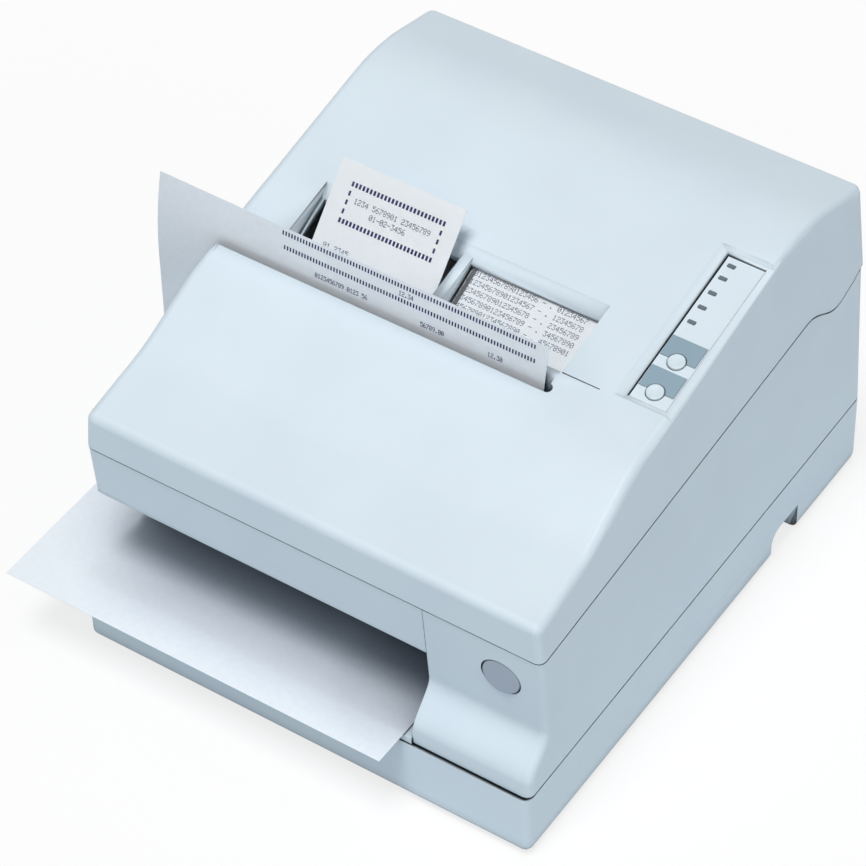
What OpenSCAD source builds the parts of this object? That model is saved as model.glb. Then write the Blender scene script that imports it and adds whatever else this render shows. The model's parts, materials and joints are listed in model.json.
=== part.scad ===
// Three-station impact dot matrix printer: receipt, journal and slip.
// X runs to the right, Y to the back and Z up, with the casing centred over the origin on the floor.

/* [Casing] */
// width of the casing
body_w = 252; // [245:1:310]
// depth of the casing
body_d = 305; // [300:1:380]
// wall of the moulded shells
wall = 2.6; // [2:0.1:3.2]
// underside of the casing above the floor
foot_lift = 1.5; // [1:0.1:4]
// height of the seam between base and body, at the front
seam_b_z = 39.5; // [38:0.5:48]
// height of the seam between body and cover, at the front
seam_a_z = 122.8; // [121:0.2:130]
// height of the cover's front edge
hood_z = 144.5; // [142:0.5:160]
// rise of the S-shaped step behind the hood
hood_rise = 10.9; // [8:0.1:16]
// fall per millimetre of the sloping deck
deck_slope = 0.2011; // [0.18:0.0001:0.22]
// rounding of the side edges of all shells
edge_r = 4; // [2:0.1:4.6]
// visible gap between two shells
seam_gap = 0.9; // [0.5:0.1:1.2]
// draft of the cover's sides, per millimetre of height
side_draft = 0.1; // [0.05:0.005:0.12]
// height of the cover's hinge above the floor
hinge_z = 144; // [142:0.5:146]
// radius of the hinge barrel
barrel_r = 5; // [4:0.1:5.5]

/* [Slip path] */
// distance from the casing's front to the upright slip path
slip_set = 113.6; // [112:0.5:124]
// bend radius of the slip path
slip_r = 45; // [37:0.5:54]
// width of the loaded slip
slip_w = 219.5; // [170:0.5:225]
// width of the slip slot, front to back
slot_w = 5; // [4.5:0.1:7]
// right end of the slip slot, from the right wall
slot_end = 60.4; // [58:0.5:66]
// lower edge of the bar over the slip mouth
bar_z = 90.4; // [88:0.5:96]
// seam between bar and right column, from the right wall
column_w = 63.6; // [60:0.5:68]
// length of the slip in front of its bend
slip_front = 87.6; // [70:0.2:110]

/* [Paper stations] */
// width of the receipt and journal paper
paper_w = 69.5; // [57:0.5:70]
// full diameter of a paper roll
roll_d = 80; // [60:1:83]
// width of the rib between the stations
divider_w = 5.2; // [3:0.1:5.4]
// length of receipt standing out of the opening
receipt_out = 60; // [40:1:62]
// lean of the receipt from upright
receipt_lean = 42; // [36:1:43]
// drop of the rear wall of the paper recess
recess_h = 6.6; // [5:0.1:8]
// rise per millimetre of the journal window
win_slope = 0.42; // [0.3:0.01:0.5]

/* [Control panel] */
// length of the panel, front to back
panel_l = 96; // [90:1:100]
// width of the panel window
panel_w = 20.5; // [18:0.5:22]
// diameter of the feed buttons
feed_d = 8.5; // [7:0.1:10.2]
// diameter of the power button
power_d = 20; // [16:0.5:23]
// travel of the feed buttons
feed_travel = 0.8; // [0.5:0.1:1]
// travel of the power button
power_travel = 3; // [2:0.1:3.5]

/* [Print unit] */
// diameter of the carriage guide shaft
shaft_d = 8; // [6:0.5:9]
// diameter of the rubber feed rollers
roller_d = 14; // [12:0.5:15]
// height of the print line
print_z = 112; // [110:0.5:113]
// position of the carriage from the middle of the casing
carriage_x = -30; // [-80:1:20]
// number of teeth of a feed motor pinion
pinion_n = 12; // [10:1:14]
// number of teeth of a feed roller gear
gear_n = 28; // [24:1:29]
// gear module
gear_m = 0.6; // [0.5:0.05:0.65]

/* [Hidden] */
$fn = 48;
hw = body_w / 2;
yf = -body_d / 2;
yr = body_d / 2;
yc = yf + 11.5;
slip_y = yf + slip_set;
hinge_y = yr - 12.5;
slot_x = hw - slot_end;
slot_f = 1.6;
col_x = hw - column_w;
run = 0.05;
play = 0.3;
paper_t = 0.3;

// the deck and crown of the cover
rise_y0 = yc + 37;
rise_y1 = yc + 89;
crown_y0 = yr - 78.5;
crown_y1 = yr - 36.5;
crown_fall = -0.29;
corner_r = 5;
rear_y = yr - 7.5;
function smooth(t) = let (c = max(0, min(1, t))) c * c * (3 - 2 * c);
function deck(y) = hood_z + deck_slope * (y - yc) + hood_rise * smooth((y - rise_y0) / (rise_y1 - rise_y0));
function crown(t, l) = deck_slope * t + (crown_fall - deck_slope) / (2 * l) * t * t;
function top_z(y) = y < crown_y0 ? deck(y)
    : y < crown_y1 ? deck(crown_y0) + crown(y - crown_y0, crown_y1 - crown_y0)
    : deck(crown_y0) + crown(crown_y1 - crown_y0, crown_y1 - crown_y0) + crown_fall * (y - crown_y1);
function arc(cy, cz, r, a0, a1, n) = [for (i = [0:n]) let (a = a0 + (a1 - a0) * i / n) [cy + r * cos(a), cz + r * sin(a)]];

// the seam between body and cover, with its dip in front of the hinge
seam_slope = 0.0911;
dip_y0 = yr - 60.5;
dip_y1 = yr - 32.5;
dip_z = 12.1;
function seam_line(y) = seam_a_z + seam_slope * (y - yc);
function seam_a(y) = y < dip_y0 ? seam_line(max(y, yc))
    : seam_line(dip_y0) - (seam_line(dip_y0) - (hinge_z - dip_z)) * smooth((y - dip_y0) / (dip_y1 - dip_y0));
seam_pts = concat([[yf - 40, seam_a_z], [yc, seam_a_z]],
    [for (i = [0:8]) let (y = dip_y0 + (dip_y1 - dip_y0) * i / 8) [y, seam_a(y)]],
    [[dip_y1 + 4, hinge_z - dip_z + 0.3], [hinge_y - 4, hinge_z - 7.6]]);
seam_b_slope = 0.0141;
function seam_b(y) = seam_b_z + seam_b_slope * (y - yf);

// the front of the body: foot, waist and the lean up to the cover
foot_y = yf + 1.5;
waist_y = yf + 16;
waist_z = 72;
foot_z = 49;
front_top_y = yc + 0.3;
function front_y(z) = z > waist_z ? waist_y + (front_top_y - waist_y) * (z - waist_z) / (seam_a_z - waist_z)
    : foot_y + (waist_y - foot_y) * smooth((z - foot_z) / (waist_z - foot_z));

function base_profile() = concat(
    arc(yf + corner_r, foot_lift + corner_r, corner_r, 180, 270, 4),
    arc(yr - corner_r, foot_lift + corner_r, corner_r, 270, 360, 4),
    [[yr, seam_b(yr) + 14], [yf, seam_b(yr) + 14]]);
function body_profile() = concat(
    [[foot_y, seam_b_z - 12], [yr, seam_b_z - 12], [yr, seam_b(yr)], [rear_y, hinge_z - 6], [rear_y, hinge_z + 20]],
    [[yc, hinge_z + 20], [yc, seam_a_z + 1]],
    [for (i = [0:14]) let (z = seam_a_z - (seam_a_z - waist_z) * i / 14) [front_y(z), z]],
    [for (i = [1:10]) let (z = waist_z - (waist_z - foot_z) * i / 10) [front_y(z), z]]);
deck_a = atan(deck_slope);
fall_a = atan(crown_fall);
function cover_profile() = concat(
    [[yc, seam_a_z - 20], [rear_y, seam_line(rear_y) - 24]],
    arc(rear_y - corner_r, top_z(rear_y - corner_r) - corner_r / cos(fall_a), corner_r, 0, 90 + fall_a, 4),
    [for (i = [0:8]) let (y = crown_y1 + (crown_y0 - crown_y1) * i / 8) [y, top_z(y)]],
    [for (i = [0:14]) let (y = rise_y1 + (rise_y0 - rise_y1) * i / 14) [y, top_z(y)]],
    arc(yc + corner_r, top_z(yc + corner_r) - corner_r / cos(deck_a), corner_r, 90 + deck_a, 180, 4));

// a profile drawn in by d along its corner bisectors
function unit(v) = v / norm(v);
function edge_n(p, i) = let (e = unit(p[(i + 1) % len(p)] - p[i])) [-e[1], e[0]];
function drawn_in(p, d) = [for (i = [0:len(p) - 1])
    let (a = edge_n(p, (i + len(p) - 1) % len(p)), b = edge_n(p, i)) p[i] + d * (a + b) / (1 + a * b)];
function half_w(y, z, draft) = hw - draft * (z - seam_line(y));
ring_a = [90, 60, 30, 0];

// a shell's outer solid: the side profile carried across, with rounded side edges
module loft(profile, draft) {
    n = len(profile);
    rings = [for (s = [-1, 1]) for (k = [0:3])
        let (a = s < 0 ? ring_a[k] : ring_a[3 - k], q = drawn_in(profile, edge_r * (1 - cos(a))))
        [for (p = q) [s * (half_w(p[0], p[1], draft) - edge_r * (1 - sin(a))), p[0], p[1]]]];
    pts = [for (r = rings) for (p = r) p];
    sides = [for (j = [0:6]) for (i = [0:n - 1])
        let (k = (i + 1) % n) [j * n + i, (j + 1) * n + i, (j + 1) * n + k, j * n + k]];
    polyhedron(pts, concat([[for (i = [0:n - 1]) i]], sides, [[for (i = [0:n - 1]) 8 * n - 1 - i]]), convexity = 8);
}
module along_x(x0, x1) translate([x0, 0, 0]) rotate([90, 0, 90]) linear_extrude(x1 - x0) children();
module along_y(y0, y1) translate([0, y1, 0]) rotate([90, 0, 0]) linear_extrude(y1 - y0) children();
module block(x0, x1, y0, y1, z0, z1) translate([x0, y0, z0]) cube([x1 - x0, y1 - y0, z1 - z0]);
module rod_x(x0, x1, y, z, d) translate([x0, y, z]) rotate([0, 90, 0]) cylinder(d = d, h = x1 - x0);
module rod_y(y0, y1, x, z, d) translate([x, y1, z]) rotate([90, 0, 0]) cylinder(d = d, h = y1 - y0);
module rod_z(z0, z1, x, y, d) translate([x, y, z0]) cylinder(d = d, h = z1 - z0);

// ---- base ----
bay_x0 = -60;
bay_x1 = 84;
bay_y0 = yr - 84;
bay_y1 = yr - 34;
bay_h = 26;
notch_y0 = yr - 84.5;
notch_y1 = yr - 59.5;
notch_h = 16.5;
foot_x = hw - 20;
foot_in = 22;
foot_d = 16;
screw_d = 3;
boss_x = hw - 9.5;
boss_y0 = yf + 12;
boss_y1 = yr - 14;
floor_z = foot_lift + 3;
body_screws = [[boss_x, boss_y0], [boss_x, boss_y1], [-boss_x, boss_y1]];
module feet_at() for (x = [-1, 1]) for (y = [yf + foot_in, yr - foot_in]) translate([x * foot_x, y, 0]) children();
module bosses_at() for (x = [-1, 1]) for (y = [boss_y0, boss_y1]) translate([x * boss_x, y, 0]) children();
module base_case() color("#dfe7ec") difference() {
    union() {
        difference() {
            loft(base_profile(), 0);
            difference() {
                block(-hw + wall, hw - wall, yf + wall, yr - wall, floor_z, 90);
                block(bay_x0 - wall, bay_x1 + wall, bay_y0 - wall, bay_y1 + wall, 0, foot_lift + bay_h + wall);
                block(bay_x1, hw, notch_y0 - wall, notch_y1 + wall, 0, foot_lift + notch_h + wall);
            }
            along_x(-hw - 1, hw + 1) polygon([[yf - 1, seam_b(yf - 1)], [yr + 1, seam_b(yr + 1)], [yr + 1, 90], [yf - 1, 90]]);
        }
        bosses_at() translate([0, 0, foot_lift + 0.5]) cylinder(d = 9, h = seam_b_z - foot_lift - 3);
        for (x = board_screws) for (y = [board_y0 + 8, board_y1 - 8])
            translate([x, y, foot_lift + 0.5]) cylinder(d = 7, h = board_z - foot_lift - 0.5);
    }
    block(bay_x0, bay_x1, bay_y0, bay_y1, -1, foot_lift + bay_h);
    along_x(bay_x1 - 1, hw + 1) union() {
        translate([notch_y0 + 8, 0]) square([notch_y1 - notch_y0 - 8, foot_lift + notch_h]);
        translate([notch_y0, -9]) square([12, foot_lift + notch_h + 1]);
        translate([notch_y0 + 8, foot_lift + notch_h - 8]) circle(8);
    }
    feet_at() translate([0, 0, -1]) cylinder(d = foot_d + 0.2, h = foot_lift + 1.8);
    bosses_at() translate([0, 0, -1]) cylinder(d = screw_d + 0.4, h = 60);
    bosses_at() translate([0, 0, -1]) cylinder(d = 6.4, h = 9);
    for (x = board_screws) for (y = [board_y0 + 8, board_y1 - 8])
        translate([x, y, board_z - 7]) cylinder(d = screw_d - 0.6, h = 12);
    block(power_x - 9, power_x + 9, bay_y0 - wall - 1, bay_y0 + 1, foot_lift + 4.5, foot_lift + 22);
    block(serial_x - 27, serial_x + 27, bay_y0 - wall - 1, bay_y0 + 1, foot_lift + 5.5, foot_lift + 19);
    block(drawer_x - 14.5, drawer_x + 14.5, bay_y0 - wall - 1, bay_y0 + 1, foot_lift + 4.5, foot_lift + 19);
    for (i = [0:9]) block(-hw - 1, -hw + wall + 1, yf + 60 + i * 7, yf + 63 + i * 7, 14, 30);
}
module rubber_feet() color("#2b2d30") feet_at() difference() {
    cylinder(d = foot_d, h = foot_lift + 0.8);
    translate([0, 0, -1]) cylinder(d = foot_d - 6, h = 1.5);
}
module screws() color("#8d9196") {
    bosses_at() {
        translate([0, 0, 3]) cylinder(d = 5.6, h = 5);
        translate([0, 0, 7]) cylinder(d = screw_d, h = seam_b_z - 6);
    }
    for (q = body_screws) rod_z(seam_b_z, seam_b_z + 14, q[0], q[1], screw_d);
    for (x = board_screws) for (y = [board_y0 + 8, board_y1 - 8]) translate([x, y, board_z + board_t]) {
        cylinder(d = 5.6, h = 2);
        translate([0, 0, -6]) cylinder(d = screw_d - 0.6, h = 6);
    }
}

// ---- main board and its connectors ----
board_y0 = yf + 22;
board_y1 = bay_y0 - wall - 0.8;
board_z = foot_lift + 4.6;
board_screws = [-80, 44, 80];
board_t = 1.6;
power_x = 58;
serial_x = -18;
drawer_x = 30 - 6;
module main_board() color("#2f6b46") {
    difference() {
        block(-hw + 14, hw - 14, board_y0, board_y1, board_z, board_z + board_t);
        for (x = board_screws) for (y = [board_y0 + 8, board_y1 - 8])
            translate([x, y, board_z - 1]) cylinder(d = screw_d + 0.2, h = 4);
    }
    for (i = [0:3]) block(-70 + i * 34, -48 + i * 34, board_y0 + 50, board_y0 + 72, board_z + board_t, board_z + board_t + 3);
    for (i = [0:4]) translate([-84 + i * 16, board_y0 + 100, board_z + board_t]) cylinder(d = 10, h = 13);
    block(20, 60, board_y0 + 92, board_y0 + 112, board_z + board_t, board_z + board_t + 14);
}
module power_socket() color("#26282b") difference() {
    union() {
        block(power_x - 8.6, power_x + 8.6, bay_y0 - wall - 12, bay_y0 - 0.4, foot_lift + 6.4, foot_lift + 21.6);
    }
    rod_y(bay_y0 - 9, bay_y0, power_x, foot_lift + 14, 12);
}
module data_sockets() color("#9aa0a6") {
    serial_socket();
    drawer_socket();
}
module serial_socket() difference() {
    union() {
        block(serial_x - 26.6, serial_x + 26.6, bay_y0 - wall - 9, bay_y0 - 1, foot_lift + 6.4, foot_lift + 18.6);
        along_y(bay_y0 - 1, bay_y0 + 5) polygon([[serial_x - 19.5, foot_lift + 17], [serial_x + 19.5, foot_lift + 17],
            [serial_x + 18, foot_lift + 8.4], [serial_x - 18, foot_lift + 8.4]]);
        for (s = [-1, 1]) rod_y(bay_y0 - 1, bay_y0 + 4.5, serial_x + s * 23.5, foot_lift + 12.5, 4.6);
    }
    along_y(bay_y0 - 2, bay_y0 + 6) polygon([[serial_x - 18.6, foot_lift + 16.2], [serial_x + 18.6, foot_lift + 16.2],
        [serial_x + 17.2, foot_lift + 9.2], [serial_x - 17.2, foot_lift + 9.2]]);
}
module drawer_socket() difference() {
    block(drawer_x - 14, drawer_x + 14, bay_y0 - wall - 12, bay_y0 - 0.4, foot_lift + 6.4, foot_lift + 18.4);
    for (s = [-1, 1]) block(drawer_x + s * 7 - 5, drawer_x + s * 7 + 5, bay_y0 - 11, bay_y0, foot_lift + 8.4, foot_lift + 15.4);
}

// ---- slip path in side view ----
arc_y = slip_y - slip_r;
slip_z = seam_b_z + 4.7;
arc_z = slip_z + slip_r;
table_t = 2.4;
function path_pts(off, z1) = concat([[yf + 0.6, slip_z - off]], arc(arc_y, arc_z, slip_r + off, -90, 0, 20), [[slip_y + off, z1]]);
module table_side(o0, o1, z1) polygon(concat(path_pts(o0, z1), [for (i = [0:21]) path_pts(o1, z1)[22 - i]],
    [[yf + 6.6, slip_z - o1], [yf + 6.6, seam_b(yf) + 0.3], [yf + 0.6, seam_b(yf) + 0.3]]));
// everything in front of the slip path, out to offset off
module front_of_path(off, z1) polygon(concat([[yf - 20, slip_z - off]], path_pts(off, z1), [[slip_y + off, 230], [yf - 20, 230]]));

module body_inner() offset(delta = -wall) polygon(body_profile());
mouth = 4;
module main_body() color("#dde5ea") difference() {
    union() {
        difference() {
            loft(body_profile(), 0);
            difference() {
                along_x(-hw + wall, hw - wall) body_inner();
                along_x(col_x + 0.2, col_x + 0.2 + wall) polygon([[yf, 0], [slip_y - 21, 0], [slip_y - 21, shaft_z - 8],
                    [slip_y - 74, shaft_z - 8], [slip_y - 74, seam_a_z - 6], [yf, seam_a_z - 6]]);
                for (q = body_screws) {
                    rod_z(0, seam_b_z + 24, q[0], q[1], 8);
                    block(min(q[0], q[0] + sign(q[0]) * 9), max(q[0], q[0] + sign(q[0]) * 9), q[1] - 1.2, q[1] + 1.2, 0, seam_b_z + 24);
                }
            }
            along_x(-hw - 1, col_x) front_of_path(mouth, 100);
            along_x(-hw - 1, hw + 1) above_body();
            along_x(-hw - 1, hw + 1) polygon([[yf - 1, 0], [yr + 1, 0], [yr + 1, seam_b(yr + 1) + seam_gap], [yf - 1, seam_b(yf - 1) + seam_gap]]);
        }
        for (s = [-1, 1]) block(s * knuckle_x - knuckle_w / 2, s * knuckle_x + knuckle_w / 2, hinge_y - 1, rear_y, hinge_z - 26, hinge_z);
        for (s = [-1, 1]) rod_x(s * knuckle_x - knuckle_w / 2, s * knuckle_x + knuckle_w / 2, hinge_y, hinge_z, 2 * barrel_r);
    }
    for (s = [-1, 1]) rod_x(s * knuckle_x - 20, s * knuckle_x + 20, hinge_y, hinge_z, pin_d + 2 * run);
    for (q = body_screws) rod_z(seam_b_z - 1, seam_b_z + 15, q[0], q[1], screw_d);
    rod_y(yf - 1, yf + 30, button_x, button_z, power_d + 1.2);
}

// ---- cover ----
knuckle_x = hw - 34;
knuckle_w = 12;
pin_d = 3;
recess_x0 = slot_x - 158.6;
recess_x1 = slot_x - 1.1;
recess_y0 = slip_y + 11;
recess_y1 = slip_y + 47;
recess_y2 = slip_y + 52.8;
open_x0 = recess_x0 + 2;
rib_x0 = slot_x - 79.3;
rib_x1 = rib_x0 + divider_w;
rib_drop = 3.5;
win_x0 = rib_x1 + 0.2;
win_x1 = recess_x1 - 0.6;
win_y0 = recess_y0 + 6;
win_y1 = recess_y1 - 0.2;
win_a = atan(win_slope);
skin = 2.2;
ledge = 1;
pane_t = 1;
pane_x0 = win_x0 + 1.3;
pane_x1 = win_x1 + 1.4;
pane_y0 = win_y0 - 1.5;
pane_y1 = win_y1 + 1;
function floor_z_at(y) = deck(recess_y2) - recess_h - win_slope * (recess_y1 - y);
function win_z(y, drop) = floor_z_at(y) - drop / cos(win_a);
panel_x0 = hw - 34.5;
panel_y0 = slip_y + 11.9;
panel_in = 3.5;
panel_back = 1.5;
panel_h = 2;
win_px = panel_x0 + 4.8;
win_py0 = 3.3;
win_py1 = panel_l - 3.4;
rim_gap = 0.9;
lip_h = 8;
button_x = hw - 23;
button_z = 100;
module deck_frame(x, y) translate([x, y, deck(y)]) rotate([deck_a, 0, 0]) children();
module cover_inner() intersection() {
    along_x(-hw, hw) offset(delta = -wall) polygon(cover_profile());
    along_y_slab();
}
// the space between the cover's drafted side walls
module along_y_slab() {
    ya = yf - 30;
    yb = yr + 30;
    za = 60;
    zb = 240;
    w = [for (p = [[ya, za], [yb, za], [yb, zb], [ya, zb]]) half_w(p[0], p[1], side_draft) - wall];
    polyhedron([[-w[0], ya, za], [-w[1], yb, za], [-w[2], yb, zb], [-w[3], ya, zb],
        [w[0], ya, za], [w[1], yb, za], [w[2], yb, zb], [w[3], ya, zb]],
        [[0, 1, 2, 3], [7, 6, 5, 4], [0, 4, 5, 1], [1, 5, 6, 2], [2, 6, 7, 3], [3, 7, 4, 0]]);
}
module recess_2d(grow) polygon([[recess_y0 - grow, floor_z_at(recess_y0 - grow) - grow],
    [recess_y1 + grow * 0.6, floor_z_at(recess_y1 + grow * 0.6) - grow],
    [recess_y2 + grow * 1.2, deck(recess_y2) + 0.5],
    [recess_y2 + grow * 1.2, 235], [recess_y0 - grow, 235]]);
// a strip parallel to the journal window, from drop a to drop b below the recess floor
module win_strip(y0, y1, a, b) polygon([[y0, win_z(y0, a)], [y1, win_z(y1, a)], [y1, win_z(y1, b)], [y0, win_z(y0, b)]]);
slot_y0 = slip_y - slot_f;
slot_y1 = slot_y0 + slot_w;
// the flared rear edge of the slip slot
module slot_flare() polygon([[slot_y1 - 1, deck(slot_y1) - 2.6], [slot_y1, deck(slot_y1) - 2.6],
    [slot_y1 + 3.8, deck(slot_y1 + 3.8) + 0.02], [slot_y1 + 3.8, 235], [slot_y1 - 1, 235]]);
module top_cover() color("#e1e9ee") {
    difference() {
        loft(cover_profile(), side_draft);
        difference() {
            cover_inner();
            block(-hw, slot_x + skin, slot_y0 - skin, slot_y0 + 1, deck(slip_y) - lip_h, 230);
            block(-hw, slot_x + skin, slot_y1 - 1, slot_y1 + skin, deck(slip_y) - lip_h, 230);
            block(slot_x - 1, slot_x + skin, slot_y0 - skin, slot_y1 + skin, deck(slip_y) - lip_h, 230);
            along_x(recess_x0 - skin, recess_x1 + skin) recess_2d(skin);
            deck_frame(panel_x0, panel_y0) block(-skin, 40, -skin, panel_l + skin, -6.6, 10);
            for (s = [-1, 1]) rod_x(s * knuckle_x - 14, s * knuckle_x + 14, hinge_y, hinge_z, 2 * barrel_r);
        }
        along_x(recess_x0, recess_x1) recess_2d(0);
        block(-hw - 5, slot_x - slot_w / 2, slot_y0, slot_y1, 60, 235);
        rod_z(60, 235, slot_x - slot_w / 2, slot_y0 + slot_w / 2, slot_w);
        block(-hw - 5, -hw + 6, slot_y0 - 1.4, slot_y1, 60, deck(slip_y) - lip_h);
        along_x(-hw - 5, slot_x - slot_w / 2) slot_flare();
        block(open_x0, rib_x0, recess_y0, recess_y1, 60, 235);
        block(win_x0, win_x1, win_y0, win_y1, 60, 235);
        along_x(pane_x0 - play, pane_x1 + play) win_strip(pane_y0 - play, pane_y1 + play, ledge, 7);
        deck_frame(recess_x1, recess_y0) block(-0.5, 20.2, -0.3, 0.3, -0.6, 10);
        deck_frame(panel_x0, panel_y0) hull() {
            block(0, 60, 0, panel_l, 0, 10);
            block(panel_in, 60, 0, panel_l - panel_back, -panel_h, 10);
        }
        deck_frame(win_px, panel_y0) {
            block(0, panel_w, win_py0, win_py1, plate_z, 10);
            block(0, rim_gap, win_py0, win_py1, plate_z - 2, 10);
            block(0, panel_w, win_py1 - rim_gap, win_py1, plate_z - 2, 10);
        }
        for (p = feed_at) deck_frame(win_px, panel_y0) translate([p[0], p[1], -8]) cylinder(d = feed_d + 2 * play, h = 8);
        for (i = [0:4]) deck_frame(win_px, panel_y0) led_at(i) block(-2.2, 2.2, -1.2, 1.2, -8, 0);
        along_x(-hw - 9, hw + 9) polygon(concat([[yf - 40, 0]], seam_pts,
            arc(hinge_y, hinge_z, barrel_r, 270, 360, 5), [[yr + 40, hinge_z], [yr + 40, 0]]));
        for (s = [-1, 1]) block(s * hw - (s > 0 ? 0 : 9), s * hw + (s > 0 ? 9 : 0), yf, yr, 60, 200);
        for (s = [-1, 1]) block(s * knuckle_x - knuckle_w / 2 - 0.4, s * knuckle_x + knuckle_w / 2 + 0.4,
            hinge_y - 20, yr + 10, hinge_z - 30, hinge_z + barrel_r + 0.7);
        for (s = [-1, 1]) rod_x(s * knuckle_x - 20, s * knuckle_x + 20, hinge_y, hinge_z, pin_d + 2 * run);
    }
    intersection() {
        along_x(rib_x0, rib_x1) polygon([[recess_y0 - 0.5, floor_z_at(recess_y0) - skin],
            [recess_y1 + 1, floor_z_at(recess_y1 + 1) - skin], [recess_y1 + 4, deck(recess_y1 + 4) - rib_drop],
            [recess_y0 - 0.5, deck(recess_y0) - rib_drop]]);
        block(-hw, hw, recess_y0 - 0.4, recess_y2 + 2, 60, 235);
    }
}
module hinge_pins() color("#8f959b") for (s = [-1, 1])
    rod_x(s * knuckle_x - 13.5, s * knuckle_x + 13.5, hinge_y, hinge_z, pin_d);

// ---- control panel: positions in the panel window's own frame ----
feed_at = [[10.5, 10.4], [10.5, 29.2]];
feed_block = [[1.2, 11.1, 18.4, 12.2], [1.2, 30, 18.4, 11.8]];
led_y = [51.7, 61, 70.1, 79.5, 87.3];
module led_at(i) translate([5, led_y[i], 0]) children();
plate_z = -3.4;
plate_t = 1.2;
module panel_plate() color("#e8eef2") deck_frame(win_px, panel_y0) difference() {
    block(rim_gap, panel_w - 0.1, win_py0 + 0.1, win_py1 - rim_gap, plate_z, plate_z + plate_t);
    for (p = feed_at) translate([p[0], p[1], -8]) cylinder(d = feed_d + 2 * play, h = 12);
    for (i = [0:4]) led_at(i) block(-2, 2, -1, 1, -8, 4);
}
module feed_labels() color("#7a8a9e") deck_frame(win_px, panel_y0) difference() {
    for (b = feed_block) block(b[0], b[0] + b[2], b[1], b[1] + b[3], plate_z + plate_t, plate_z + plate_t + 0.3);
    for (p = feed_at) translate([p[0], p[1], -8]) cylinder(d = feed_d + 2 * play + 0.2, h = 12);
}
module status_lamps() color("#5b6f66") deck_frame(win_px, panel_y0)
    for (i = [0:4]) led_at(i) block(-1.9, 1.9, -0.9, 0.9, -6.4, plate_z + plate_t + 0.3);
module feed_button(i) deck_frame(win_px, panel_y0) translate([feed_at[i][0], feed_at[i][1], 0]) {
    translate([0, 0, -6.4 + feed_travel + play]) cylinder(d = feed_d, h = 5.3 - feed_travel - play);
}
module receipt_feed_button() color("#d5dde2") feed_button(1);
module journal_feed_button() color("#d5dde2") feed_button(0);
module power_button() color("#a3afbe") {
    rod_y(front_y(button_z) - 0.6, front_y(button_z) + 5, button_x, button_z, power_d);
    rod_y(front_y(button_z) + 5, front_y(button_z) + 8.6, button_x, button_z, power_d - 8);
}
module power_switch() color("#2c2e31") {
    difference() {
        block(button_x - 11, button_x + 11, front_y(button_z) + 9, front_y(button_z) + 26, button_z - 9, button_z + 9);
        rod_y(front_y(button_z), front_y(button_z) + 14, button_x, button_z, power_d - 7);
    }
    block(button_x - 14, button_x + 14, front_y(button_z) + 14, front_y(button_z) + 16, button_z - 12, button_z + 12);
}
module journal_window() color([0.8, 0.85, 0.88, 0.35])
    along_x(pane_x0, pane_x1) win_strip(pane_y0, pane_y1, ledge + 0.05, ledge + 0.05 + pane_t);

// ---- slip bar, guides and table ----
module slip_bar() color("#dde5ea") difference() {
    loft(body_profile(), 0);
    block(col_x - 0.2, hw + 9, yf - 9, yr + 9, 0, 240);
    along_x(-hw + wall, col_x + 9) intersection() {
        body_inner();
        polygon(concat(bar_pts(2), [[slip_y + 10, print_z - 9], [slip_y + 10, 240], [yf - 5, 240]]));
    }
    along_x(-hw - 9, col_x + 9) difference() {
        translate([yf - 30, 0]) square([body_d + 60, 240]);
        bar_side();
    }
    along_x(-hw - 9, col_x + 9) above_body();
    for (x = nip_x) rod_x(x - 7, x + 7, nip_in[0], nip_in[1], pinch_d + 2);
}
module above_body() polygon(concat([for (p = seam_pts) [p[0], p[1] - seam_gap]],
    [[hinge_y, hinge_z - barrel_r - seam_gap], [yr + 20, hinge_z - barrel_r - seam_gap], [yr + 20, 240], [yf - 40, 240]]));
function bar_pts(t) = concat([[yf - 5, bar_z + t], [front_y(bar_z) + 1, bar_z + t], [front_y(bar_z) + 14, bar_z - 10 + t]],
    arc(arc_y, arc_z, slip_r - mouth - t, -118, 0, 16), [[slip_y - mouth - t, print_z - 9]]);
module bar_side() polygon(concat(bar_pts(0), [[slip_y - mouth, 200], [yf - 5, 200]]));
nip_x = [-95, -30, 35];
nip_a = -38;
pinch_d = 16;
nip_out = [arc_y + (slip_r + roller_d / 2 + play) * cos(nip_a), arc_z + (slip_r + roller_d / 2 + play) * sin(nip_a)];
nip_in = [arc_y + (slip_r - pinch_d / 2 - play) * cos(nip_a), arc_z + (slip_r - pinch_d / 2 - play) * sin(nip_a)];
module slip_table() color("#dde5ea") difference() {
    along_x(-hw + 0.4, col_x - 0.3) table_side(0.6, 0.6 + table_t, print_z - 14);
    rod_z(seam_b_z - 4, seam_b_z + 2.2, -boss_x, boss_y0, screw_d);
    for (x = nip_x) rod_x(x - 7, x + 7, nip_out[0], nip_out[1], roller_d + 2);
}

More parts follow.
